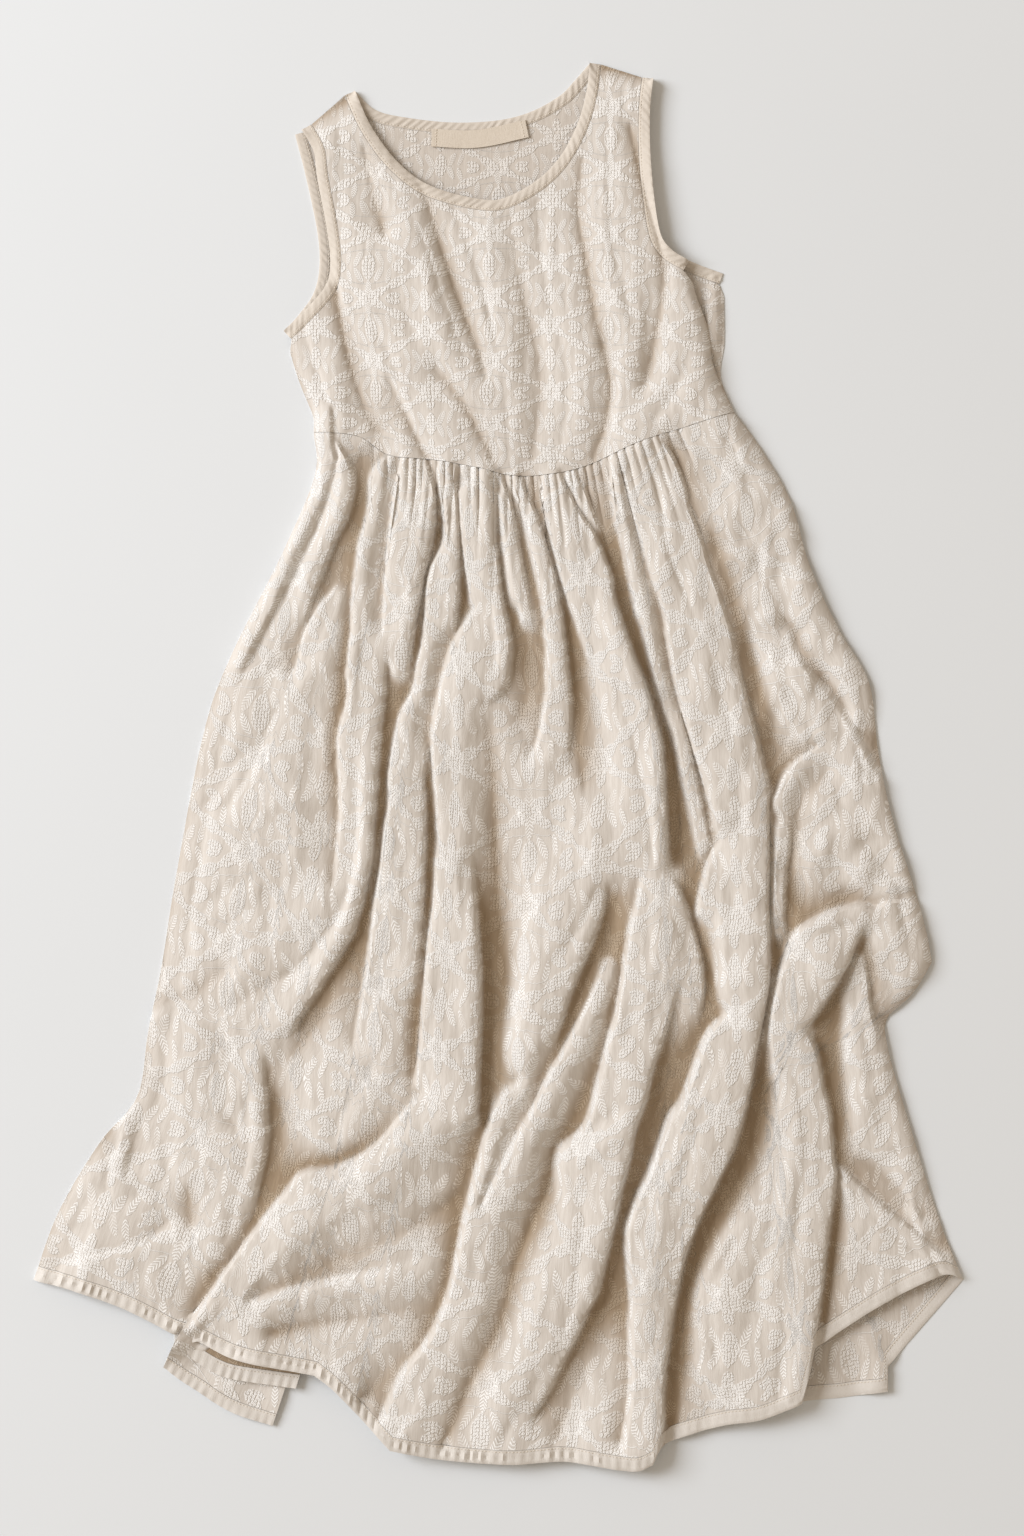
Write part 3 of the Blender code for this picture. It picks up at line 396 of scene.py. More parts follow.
# Small creases: how deep (negative) or high, and how wide.
Crease = namedtuple("Crease", "height width path")
CREASES = tuple(Crease(*row) for row in (
    (-1.2, 5, ((-290, -60), (-250, -20), (-225, 30))),
    (-1.0, 6, ((-285, -150), (-240, -110), (-190, -90))),
    (1.2, 7, ((-262, 20), (-235, 60), (-215, 100))),
    (-1.3, 6, ((-225, -60), (-205, -130), (-215, -190))),
    (1.4, 9, ((-195, 20), (-180, -60), (-190, -120))),
    (-1.2, 7, ((-160, 80), (-165, 10), (-160, -60))),
    (-1.4, 8, ((-300, -200), (-260, -230), (-225, -270))),
    (1.2, 8, ((-320, -280), (-285, -270), (-250, -290))),
    (-1.2, 6, ((-400, -420), (-360, -415), (-320, -430))),
    (-1.3, 5, ((-90, -60), (-84, -120), (-92, -180))),
    (1.2, 6, ((-20, -120), (-28, -190), (-24, -260))),
    (-1.5, 7, ((20, -60), (8, -130), (6, -200))),
    (1.6, 9, ((60, -50), (40, -110), (25, -190))),
    (-1.4, 7, ((95, 20), (100, -40), (96, -100))),
    (-1.5, 6, ((205, -60), (212, -120), (206, -180))),
    (1.3, 7, ((190, -20), (200, -90), (200, -150))),
    (-2.2, 3.5, ((137, 287), (142, 262), (145, 240), (152, 194), (167, 157), (180, 120))),
    (-1.2, 5, ((186, 120), (200, 60), (213, 0), (218, -60))),
    (-1.4, 4, ((60, 255), (78, 205), (88, 180), (92, 160))),
    (-1.3, 4, ((-76, 262), (-72, 230), (-78, 190))),
    (-1.6, 6, ((286, 130), (268, 110), (255, 70))),
    (-1.5, 6, ((300, 90), (280, 60), (262, 30))),
    (1.6, 8, ((320, -40), (300, -60), (280, -100))),
    (-1.6, 7, ((345, -60), (320, -80), (300, -110))),
    (-1.4, 7, ((365, -210), (345, -190), (320, -185))),
    (1.4, 8, ((360, -300), (340, -290), (325, -300))),
    (-1.3, 6, ((380, -350), (360, -345), (340, -365))),
    (-1.8, 8, ((150, -300), (175, -290), (200, -250))),
    (-1.6, 8, ((250, -400), (235, -450), (222, -520))),
    (1.5, 9, ((225, -380), (205, -440), (195, -520))),
    (-1.5, 9, ((95, -500), (75, -560), (66, -610))),
    (1.5, 8, ((0, -440), (-25, -520), (-50, -590))),
    (-1.6, 8, ((-60, -400), (-110, -420), (-160, -440))),
    (1.2, 7, ((-90, -375), (-140, -400), (-180, -430))),
    (-1.4, 7, ((-80, -520), (-110, -545), (-120, -580))),
    (-1.2, 7, ((340, -470), (330, -440), (335, -410))),
    (1.6, 7, ((-8, -139), (2, -220), (-5, -289))),
    (-1.6, 6, ((10, -150), (14, -215), (8, -270))),
    (1.8, 7, ((-100, -360), (-60, -385), (-35, -370))),
    (-1.6, 7, ((-105, -385), (-70, -400), (-40, -400))),
    (-1.6, 6, ((57, -346), (84, -323), (120, -300))),
    (1.6, 7, ((60, -362), (92, -340), (124, -318))),
    (-1.5, 6, ((30, -420), (20, -470), (0, -530))),
    (1.5, 7, ((45, -430), (36, -480), (20, -540))),
    (1.4, 6, ((120, -100), (112, -160), (98, -220))),
    (-1.4, 6, ((135, -120), (130, -180), (118, -240))),
    (1.6, 7, ((165, -330), (150, -380), (140, -440))),
    (-1.5, 6, ((182, -300), (170, -350), (150, -400))),
    (-1.6, 6, ((255, -330), (248, -380), (240, -440))),
    (1.5, 7, ((270, -300), (262, -360), (256, -430))),
    (3.0, 8, ((199, 185), (217, 188), (226, 173))),
    (2.5, 9, ((250, 236), (260, 222), (271, 206))),
    (3.0, 7, ((226, 125), (241, 134), (256, 125))),
    (-2.0, 8, ((247, 188), (251, 172), (253, 161))),
    (2.0, 8, ((290, 110), (305, 106), (319, 101))),
    (-2.0, 8, ((283, 83), (296, 77), (307, 71))),
    (2.2, 8, ((271, -46), (295, -67), (319, -94))),
    (-2.0, 7, ((307, -37), (331, -55), (355, -94))),
    (2.2, 9, ((-209, 54), (-177, 71), (-167, 103))),
    (-1.5, 10, ((-272, -2), (-244, -2), (-198, 26))),
    (1.8, 10, ((-293, -202), (-244, -195), (-198, -153), (-149, -111))),
    (-1.5, 10, ((-268, -156), (-216, -125), (-167, -83))),
    (1.2, 8, ((-226, -55), (-198, -34), (-142, -27))),
    # bodice
    (2.0, 9, ((-73, 503), (-63, 431), (-38, 350), (-17, 304))),
    (2.2, 10, ((-150, 391), (-114, 329), (-73, 289))),
    (1.6, 9, ((85, 503), (90, 421), (75, 329))),
    (-1.8, 8, ((136, 431), (131, 350), (115, 309))),
    (2.0, 8, ((166, 442), (187, 391), (192, 329))),
    (-0.9, 4, ((-20, 470), (-12, 420), (0, 370))),
    (-0.8, 4, ((52, 480), (58, 430), (66, 380))),
    (-1.0, 5, ((-95, 430), (-80, 400), (-70, 370))),
    (0.9, 5, ((100, 440), (112, 400), (128, 370))),
    (-1.0, 5, ((110, 620), (112, 580), (104, 530))),
    (-1.0, 5, ((-150, 585), (-142, 560), (-135, 520))),
    (0.8, 5, ((-125, 590), (-118, 560), (-110, 540))),
    (-1.0, 5, ((176, 430), (182, 400), (184, 370)))))

# Gathers below the waist seam: the crease between two puffs, and how far down it reaches.
Gather = namedtuple("Gather", "x reach")
GATHERS = tuple(Gather(*row) for row in (
    (-112, 14), (-100, 20), (-88, 60), (-81, 22), (-74, 34), (-68, 18), (-62, 40), (-55, 26),
    (-48, 32), (-41, 50), (-35, 20), (-25, 26), (-18, 34), (-5, 60), (1, 24), (6, 38),
    (12, 22), (18, 44), (24, 26), (31, 20), (38, 50), (45, 24), (52, 44), (59, 22), (65, 40),
    (71, 30), (78, 24), (84, 44), (91, 20), (98, 34), (106, 50), (113, 26), (121, 20),
    (128, 40), (137, 46), (143, 24), (152, 30), (161, 20), (172, 16)))
PUFF = 4.2                  # how far a puff of the usual spacing stands up
PUFF_SPACING = 7.0          # that spacing
PUFF_MOST = 1.3             # most that a wider one may add, as a factor
PUFF_REACH = 1.5            # scales how far down they go
PUFF_ENDS = 12              # over how much of the waist the first and last ones fade
PUFF_LIFT = 0.5, 60         # the share of it that lifts all the cloth, and how far down
SEAM_DIP = 0.5, 1.1, 3.5    # how far the seam draws in, how much more at the gathers; its width

# The front's pleat at the lower left: its lowest sheet, from its hem up to where the front
# hides it, and the middle sheet's hem, which turns round from the front's own.
PLEAT_HEM = ((-301, -540), (-286, -552), (-269, -563), (-251, -575), (-232, -584), (-203, -593))
PLEAT_TOP = ((-247, -459), (-238, -472), (-232, -492), (-224, -512), (-208, -526), (-184, -536))
PLEAT_POINTS = 73           # along its hem
PLEAT_ROWS = 41
PLEAT_LOW = 3.0
PLEAT_OVER = (-228, -468), (-279, -519)     # left of this line it lies over the front's hem
PLEAT_OVER_BLEND = 14, 6    # how far it takes to sink under the front, and then to its own level
PLEAT_RISE = (0.45, 0.7, 1), (4.5, 1.8, -0.5)   # how far above the front, on the way up from its hem
PLEAT_LIFTS = -541, 18, 1.5     # from where, over how far and how slowly it begins to follow the front
PLEAT_BOW = 6               # how far its left end curves out
Ripple = namedtuple("Ripple", "high x y")
PLEAT_RIPPLES = Ripple(0.8, 7.0, 21.0), Ripple(0.6, -13.0, 9.0)
PLEAT_BAND = 11             # width of its hem
PLEAT_PUCKER = 0.7
BAND_ROWS = 9
MOUTH = ((-246, -519, 9.5), (-262, -516, 10.5), (-274, -517, 10.5), (-280, -522, 9.5),
         (-277, -530, 8.0), (-262, -541, 7.4), (-245, -549, 7.2), (-224, -553, 7.0),
         (-203, -556, 7.0), (-182, -559, 6.6))
MOUTH_POINTS = 97
MOUTH_CLOTH_FROM = 36       # the first of those that has cloth inside its hem
MOUTH_STITCHES_FROM = 46    # and the first with stitches
MOUTH_INWARD = np.array((0.30, 0.95, 0.0))
MOUTH_BAND = 13
MOUTH_DEPTH = 26
MOUTH_STITCHES = 0.2        # how far down its hem they run
PLEAT_PAINTED_SHADE = 0.1           # how much painted shade the lowest sheet gets
INNER_PAINTED_SHADE = 1.0           # and the cloth inside the mouth


# ---------------------------------------------------------------- curves
def upsampled(grid, factor, axis):
    """A grid or line made finer along an axis, on smooth curves through its points."""
    grid = np.moveaxis(grid, axis, 0)
    ends = np.concatenate((2 * grid[:1] - grid[1:2], grid, 2 * grid[-1:] - grid[-2:-1]))
    t = (np.arange(factor) / factor).reshape((1, factor) + (1,) * (grid.ndim - 1))
    a, b, c, d = (ends[k:len(ends) - 3 + k, None] for k in range(4))
    fine = 0.5 * (2 * b + (c - a) * t + (2 * a - 5 * b + 4 * c - d) * t ** 2
                  + (3 * b - a - 3 * c + d) * t ** 3)
    fine = np.concatenate((fine.reshape((-1,) + grid.shape[1:]), grid[-1:]))
    return np.moveaxis(fine, 0, axis)


def through(points, step=1.0):
    """A smooth curve through points, evenly spaced."""
    line = upsampled(np.array(points, float), CURVE_STEPS, 0)
    return resample(line, max(int(length_of(line) / step), 2) + 1)


def length_of(line):
    """A polyline's length."""
    return np.linalg.norm(np.diff(line, axis=0), axis=1).sum()


def travelled(grid, axis=0):
    """How far along its line each point is, on a polyline or along an axis of a grid."""
    steps = np.linalg.norm(np.diff(grid, axis=axis), axis=-1)
    return np.insert(np.cumsum(steps, axis), 0, 0.0, axis)


def points_at(line, distances):
    """A polyline's points at distances along it."""
    run = travelled(line)
    return np.stack([np.interp(distances, run, line[:, k]) for k in range(line.shape[1])], 1)


def resample(line, count):
    """Points at even distances along a polyline."""
    return points_at(line, np.linspace(0, travelled(line)[-1], count))


def stretches(curves, cells, factor, axis):
    """Points along curves that meet at corners: cells * factor steps, corners kept."""
    reach = np.array([abs(curve[-1, axis] - curve[0, axis]) for curve in curves])
    share = np.maximum(np.rint(reach / reach.sum() * cells), 1).astype(int)
    share[reach.argmax()] += cells - share.sum()
    parts = [resample(curve, n * factor + 1)[:-1] for curve, n in zip(curves, share)]
    return np.vstack(parts + [curves[-1][-1:]])


def rightward(curve):
    """Unit vectors to the right of a curve's run."""
    run = np.gradient(curve, axis=0)
    run /= np.linalg.norm(run, axis=1)[:, None]
    return np.stack((run[:, 1], -run[:, 0]), 1)


def beside(curve, distance):
    """The curve moved by a distance to the right of its run."""
    return curve + np.asarray(distance)[..., None] * rightward(curve)


def smooth(share):
    """A share from 0 to 1 that starts and ends level."""
    return share ** 2 * (3 - 2 * share)


def fading(distance, reach):
    """A share that falls softly from 1, and is small beyond a reach."""
    return np.exp(-(distance / reach) ** 2)


# ---------------------------------------------------------------- the fold surface
def splat(lines, cell):
    """Each grid cell's mean value from the lines near it, and how firmly they hold it.

    A line is its floor points, their values and how firmly each point holds."""
    shape = tuple((FIELD_SIZE / cell).astype(int) + 2)
    channels = lines[0][1].shape[1]
    total, weight = np.zeros(shape + (channels,)), np.zeros(shape)
    for floor, values, hold in lines:
        at = (floor - FIELD_LOW) / cell
        low = np.clip(np.floor(at).astype(int), 0, np.array(shape) - 2)
        part = at - low
        for i, j in product((0, 1), repeat=2):
            share = hold * np.abs(1 - i - part[:, 0]) * np.abs(1 - j - part[:, 1])
            spot = (low[:, 0] + i, low[:, 1] + j)
            np.add.at(weight, spot, share)
            np.add.at(total, spot, share[:, None] * values)
    return total / np.maximum(weight, 1e-9)[..., None], weight / cell


def stretched(lines, swell=0.0):
    """A membrane over the field, held at the lines, for each channel of their values.

    With swell it bulges up between the lines, the more the further they are apart."""
    height = None
    for cell in CELLS:
        value, weight = splat(lines, cell)
        hold = (PIN_STRENGTH * weight / (1 + PIN_STRENGTH * weight))[..., None]
        if height is None:
            height = np.zeros(value.shape) + value[weight > 0].mean(0)
        else:
            rows, cols = (np.minimum(np.arange(value.shape[k]) // 2, height.shape[k] - 1)
                          for k in (0, 1))
            height = height[np.ix_(rows, cols)]
        for _ in range(SWEEPS):
            edge = np.pad(height, ((1, 1), (1, 1), (0, 0)), mode="edge")
            mean = (edge[:-2, 1:-1] + edge[2:, 1:-1] + edge[1:-1, :-2] + edge[1:-1, 2:]) / 4
            height = hold * value + (1 - hold) * (mean + swell * cell ** 2 / 4)
    return height


def blurred(field, across, down):
    """The field smoothed by a Gaussian."""
    wave = np.fft.fftfreq(SHAPE[0], CELL)[:, None], np.fft.rfftfreq(SHAPE[1], CELL)
    keep = np.exp(-2 * math.pi ** 2 * ((wave[0] * across) ** 2 + (wave[1] * down) ** 2))
    return np.fft.irfft2(np.fft.rfft2(field) * keep, SHAPE)


def rough(row):
    """Seeded unevenness of a row's height and scale."""
    made = blurred(np.random.default_rng(row.seed).standard_normal(SHAPE), row.across, row.down)
    return row.height * (made / made.std())


OUTLINE = np.vstack([through(path, 5) for path in
                     (SIDE_LEFT, SIDE_RIGHT_FRONT, NECK_FRONT, ARMHOLE_LEFT_FRONT,
                      ARMHOLE_RIGHT_FRONT, WAIST_FRONT, SKIRT_LEFT, *SKIRT_RIGHT, *HEM_FRONT)])


def valued(path, *ends):
    """A fold line: its floor points, its values from first to last point, and its hold."""
    floor = through(path)
    along = np.linspace(0, 1, len(floor))
    columns = [np.interp(along, np.linspace(0, 1, len(end)), end) for end in ends]
    run = np.arange(len(floor), dtype=float)
    hold = np.ones(len(floor))
    for end, away in ((0, run), (-1, run[::-1])):
        if np.linalg.norm(OUTLINE - floor[end], axis=1).min() > NEAR_EDGE:
            hold *= np.clip(away / FREE_END, FREE_HOLD, 1) ** 2
    return floor, np.stack(columns, 1), hold


def even(floor, hold, *values):
    """A fold line whose hold and values are the same all along."""
    return floor, np.tile(values, (len(floor), 1)), np.full(len(floor), hold)


def levelled(lines, level):
    """The same lines at one level."""
    return [(floor, np.full((len(floor), 1), level), hold) for floor, _, hold in lines]


def foot_of(row, top):
    """The line along the foot of a folded edge whose top line is given."""
    lower = np.clip((CRISP_ABOVE - top[:, 1]) / SOFTENING, 0, 1)
    run = EDGE_RUN + lower * SOFT_RUN[row.side] if row.run is None else np.full(len(top), row.run)
    return beside(top, -row.side * run)


def fold_field():
    """The height of the front's underside."""
    crests = [valued(row.path, row.high) for row in CRESTS]
    valleys = [valued(row.path, row.low, (row.open,)) for row in VALLEYS]
    for row in EDGES:
        top, values, hold = valued(row.path, row.high)
        inside, rise = SHELF[row.side]
        crests += [(top, values, hold),
                   (beside(top, row.side * inside), values + rise, SHELF_HOLD * hold)]
        _, values, hold = valued(row.path, row.low, (0,))
        valleys.append((foot_of(row, top), values, hold))
    for row in PINNED:
        valleys.append(even(through(row.outline), 1.0, row.level, row.open))
    for row in RIMS:
        crests.append(even(beside(through(row.outline), row.turn * RIM), RIM_HOLD, row.level))
    share = np.clip(stretched(levelled(crests, 1.0) + levelled(valleys, 0.0))[..., 0], 0, 1)
    high = stretched(crests)[..., 0]
    low, opened = np.moveaxis(stretched(valleys), -1, 0)
    soft, tube = smooth(share), np.sqrt(share * (2 - share))
    height = low + (high - low) * (soft + np.clip(opened / FULLY_OPEN, 0, 1) * (tube - soft))
    bulge = np.maximum(stretched(levelled(crests + valleys, 0.0), SWELL)[..., 0], 0)
    height = blurred(height + SWELL_MOST * np.tanh(bulge / SWELL_MOST), ROUNDING, ROUNDING)
    fullness = np.interp(Y, BODICE_BEGINS, FULLNESS)
    return np.where(height > FRONT_LEVEL, FRONT_LEVEL + fullness * (height - FRONT_LEVEL), height)


def snapped(floor):
    """Mesh points near a folded edge moved onto its top or its foot, so that it is crisp."""
    nearest = np.full(SHAPE, np.inf)
    spot, across = np.zeros(SHAPE + (2,)), np.zeros(SHAPE + (2,))
    for row in EDGES:
        top = through(row.path, SNAP_STEP)
        for line in (top, foot_of(row, top)):
            normal = rightward(line)
            cell = np.rint((line - FIELD_LOW) / CELL).astype(int)
            for step in product(range(-SNAP_CELLS, SNAP_CELLS + 1), repeat=2):
                at = tuple((cell + step).T)
                away = np.linalg.norm(line - FIELD_LOW - CELL * (cell + step), axis=1)
                np.minimum.at(nearest, at, away)
                best = nearest[at] == away
                at = tuple((cell + step)[best].T)
                spot[at], across[at] = line[best], normal[best]
    at = tuple(np.moveaxis(np.rint((floor - FIELD_LOW) / CELL).astype(int), -1, 0))
    onto, towards = SNAP
    gap = np.where(np.isfinite(nearest[at]), ((spot[at] - floor) * across[at]).sum(-1), towards)
    pull = np.clip((towards - np.abs(gap)) / (towards - onto), 0, 1)
    rows, cols = (np.minimum(np.arange(n), np.arange(n)[::-1]) for n in floor.shape[:2])
    inside = np.interp(np.minimum(rows[:, None], cols[None]), SNAP_INSIDE, (0, 1))
    return floor + (inside * pull * gap)[..., None] * across[at]


def creases():
    """Small troughs and ridges, added over the folds."""
    grid = np.stack(np.meshgrid(X, Y, indexing="ij"), -1)
    total = np.zeros(SHAPE)
    for row in CREASES:
        line = through(row.path, CREASE_STEP)
        reach = CREASE_REACH * row.width
        low = np.maximum(((line.min(0) - reach - FIELD_LOW) / CELL).astype(int), 0)
        high = ((line.max(0) + reach - FIELD_LOW) / CELL).astype(int) + 1
        part = tuple(slice(*ends) for ends in zip(low, high))
        away = np.linalg.norm(grid[part][:, :, None] - line, axis=-1)
        along = away.argmin(-1) / (len(line) - 1)
        fade = np.clip(4 * along * (1 - along) + CREASE_END, 0, 1)
        total[part] += row.height * fade * fading(away.min(-1), row.width)
    return total


def wrinkles():
    """The creases and all the cloth's unevenness."""
    crumpled = np.outer(*(np.interp(at, ends, (0, 1)) for at, ends in zip((X, Y), CRUMPLED)))
    looseness = np.interp(Y, BODICE_BEGINS, LOOSENESS)
    return (creases() + looseness * sum(rough(row) for row in LOOSE)
            + sum(rough(row) for row in CLOSE) + crumpled * rough(CRUMPLE))


def painted_valley_shade():
    """How much painted shade each place gets, from 0 to 1: how deep in a valley it lies; the folds' walls
    get none.
    """
    valley_shade = np.clip((blurred(FOLDS, CAVITY, CAVITY) - FOLDS) / CAVITY_DEPTH, 0, 1)
    slope = np.hypot(*np.gradient(FOLDS, CELL))
    return blurred(valley_shade * np.exp(-slope ** 2), CAVITY_BLUR, CAVITY_BLUR)


def looked_up(field, floor):
    """A field's value at each floor point."""
    at = (floor - FIELD_LOW) / CELL
    low = np.clip(np.floor(at).astype(int), 0, np.array(SHAPE) - 2)
    u, v = np.moveaxis(at - low, -1, 0)
    i, j = np.moveaxis(low, -1, 0)
    return ((1 - u) * (1 - v) * field[i, j] + u * (1 - v) * field[i + 1, j]
            + (1 - u) * v * field[i, j + 1] + u * v * field[i + 1, j + 1])


FOLDS = fold_field()
WRINKLES = wrinkles()
CALM = blurred(np.clip((FOLDS - SEAM_LEVEL) / CALM_RISE, 0, 1), CALM_BLUR, CALM_BLUR)
# painted shade of the front's cloth, carried to its material by the depth attribute
PAINTED_SHADE = painted_valley_shade()


def front_height(floor):
    """The front's underside above each floor point; the wrinkles fade at the seams."""
    height = looked_up(FOLDS, floor) + looked_up(CALM, floor) * looked_up(WRINKLES, floor)
    return np.maximum(height, LOWEST)


def front_painted_shade(floor):
    """How much painted shade the front gets at each floor point, from how deep it lies."""
    return looked_up(PAINTED_SHADE, floor)


def back_height(floor):
    """The back's underside: nearly flat, but for the folds that show."""
    height = 0.0
    for row in BACK_FOLDS:
        away = (((floor - row.middle) / row.half_size) ** 2).sum(-1)
        height = height + row.high * smooth(np.clip(1 - away, 0, 1))
    return height


def back_painted_shade(floor):
    """The back's even painted shade."""
    return np.full(floor.shape[:-1], BACK_PAINTED_SHADE)


# ---------------------------------------------------------------- meshes
UP = np.array((0, 0, 1.0))
SHARP_FROM = math.radians(42)
STEP_FADE = 5               # how quickly an outline's steps fade towards a panel's middle
EASING_SWEEPS = 60          # how far they are smoothed away there
EDGE_FADE = 1.5             # coarse cells over which an outline's fine detail fades inwards


def piece(name, points, faces, material, uv, depth):
    """An object on the one body, with each point's place on the flat cloth and its depth, which sets how
    much painted shade its colour gets.
    """
    mesh = bpy.data.meshes.new(name)
    mesh.from_pydata((np.asarray(points) * MM).tolist(), [], faces)
    mesh.materials.append(material)
    corner = np.empty(len(mesh.loops), np.int32)
    mesh.loops.foreach_get("vertex_index", corner)
    layer = mesh.uv_layers.new(name="Cloth")
    layer.data.foreach_set("uv", (uv[corner] * MM).astype(np.float32).ravel())
    # the depth attribute: how much painted shade the cloth's material gives each point
    mesh.attributes.new("depth", "FLOAT", "POINT").data.foreach_set(
        "value", depth.astype(np.float32))
    mesh.shade_smooth()
    mesh.set_sharp_from_angle(angle=SHARP_FROM)
    made = bpy.data.objects.new(name, mesh)
    bpy.context.collection.objects.link(made)
    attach(made, "root")
    return made


def quads(grid):
    """The faces between a grid's point numbers, each as a row of four."""
    return np.stack((grid[:-1, :-1], grid[1:, :-1], grid[1:, 1:], grid[:-1, 1:]), -1).reshape(-1, 4)


def both_sides(top, underside):
    """The values of a top's and an underside's points, a row for each point."""
    return np.concatenate([side.reshape(-1, *top.shape[2:]) for side in (top, underside)])


def shell(name, over, under, material, uv, depth=0.0, stride=2):
    """A closed sheet: its top on the full grid, its underside on every stride-th point."""
    rows, cols = over.shape[:2]
    coarse = under[::stride, ::stride].copy()
    top = np.arange(rows * cols).reshape(rows, cols)
    low = rows * cols + np.arange(coarse[..., 2].size).reshape(coarse.shape[:2])
    faces = quads(top).tolist() + quads(low)[:, (0, 3, 2, 1)].tolist()
    for upper, beneath in ((top[0], low[0]), (top[:, -1], low[:, -1]),
                           (top[-1, ::-1], low[-1, ::-1]), (top[::-1, 0], low[::-1, 0])):
        for k in range(len(beneath) - 1):
            run = upper[stride * k:stride * (k + 1) + 1].tolist()
            faces.append((*run, int(beneath[k + 1]), int(beneath[k])))
    lowest = under[..., 2]
    for axis in (0, 1):         # below the top everywhere, however sharply that is folded
        spread = [np.roll(lowest, k, axis) for k in range(1 - stride, stride)]
        lowest = np.min(spread, axis=0)
    coarse[1:-1, 1:-1, 2] = lowest[::stride, ::stride][1:-1, 1:-1]
    depth = np.broadcast_to(depth, (rows, cols))
    return piece(name, both_sides(over, coarse), faces, material,
                 both_sides(uv, uv[::stride, ::stride]),
                 both_sides(depth, depth[::stride, ::stride]))


def raised(floor, height):
    """Floor points lifted to their heights."""
    return np.concatenate((floor, np.asarray(height)[..., None]), -1)


def lifted(surface, rise):
    """A surface moved up."""
    return surface + UP * np.asarray(rise)[..., None]


def thickened(under, thickness):
    """The upper side of a wall of even thickness, also on its slopes."""
    normal = np.cross(np.gradient(under, axis=0), np.gradient(under, axis=1))
    steep = np.linalg.norm(normal, axis=-1) / np.maximum(np.abs(normal[..., 2]), 1e-6)
    for axis in (0, 1):         # the flat cloth beside a folded edge isn't thickened
        steep = np.min([steep, np.roll(steep, 1, axis), np.roll(steep, -1, axis)], axis=0)
    return lifted(under, thickness * np.minimum(steep, STEEPEST))


def flat_places(floor, height):
    """Where each point lies on the flat cloth: across from its middle, and down.

    The cloth's run follows the panel's flare in part, and what the folds hide is skipped."""
    across, down = travelled(floor, 1), travelled(floor, 0)
    across -= across[:, floor.shape[1] // 2][:, None]
    width = across[:, -1:] - across[:, :1]
    across = (1 - FLARE) * across + FLARE * across * width.max() / width
    return np.stack((across + HIDDEN[0] * height, HIDDEN[1] * height - down), -1)


def strip_places(run, down):
    """Where each point of a narrow strip lies on its flat cloth."""
    return np.stack(np.broadcast_arrays(run, -down), -1)


def eased(edge):
    """An edge with its steps and notches smoothed away, and what was taken off."""
    plain = edge.copy()
    for _ in range(EASING_SWEEPS):
        plain[1:-1] = (plain[:-2] + plain[2:]) / 2
    return plain, edge - plain


def patch(top, bottom, left, right, factor):
    """A fine grid of floor points between four edges, which it follows exactly.

    A Coons patch is made of every factor-th point of the eased edges, made finer
    on smooth curves, and then set onto the edges themselves."""
    s = np.linspace(0, 1, (len(top) - 1) // factor + 1)[None, :, None]
    t = np.linspace(0, 1, (len(left) - 1) // factor + 1)[:, None, None]
    (a, a_step), (b, b_step), (c, c_step), (d, d_step) = (
        eased(edge[::factor]) for edge in (top, bottom, left, right))
    corners = ((1 - s) * (1 - t) * a[0] + s * (1 - t) * a[-1]
               + (1 - s) * t * b[0] + s * t * b[-1])
    floor = ((1 - t) * a + t * b + (1 - s) * c[:, None] + s * d[:, None] - corners
             + (1 - t) ** STEP_FADE * a_step + t ** STEP_FADE * b_step
             + (1 - s) ** STEP_FADE * c_step[:, None] + s ** STEP_FADE * d_step[:, None])
    fine = upsampled(upsampled(floor, factor, 0), factor, 1)
    for edge, end, axis in ((top, 0, 0), (bottom, -1, 0), (left, 0, 1), (right, -1, 1)):
        steps = np.arange(fine.shape[axis]) / factor
        fade = fading(steps - steps[end], EDGE_FADE)
        missing = np.expand_dims(edge - fine.take(end, axis), axis)
        fine = fine + np.expand_dims(fade, (1 - axis, 2)) * missing
    return fine


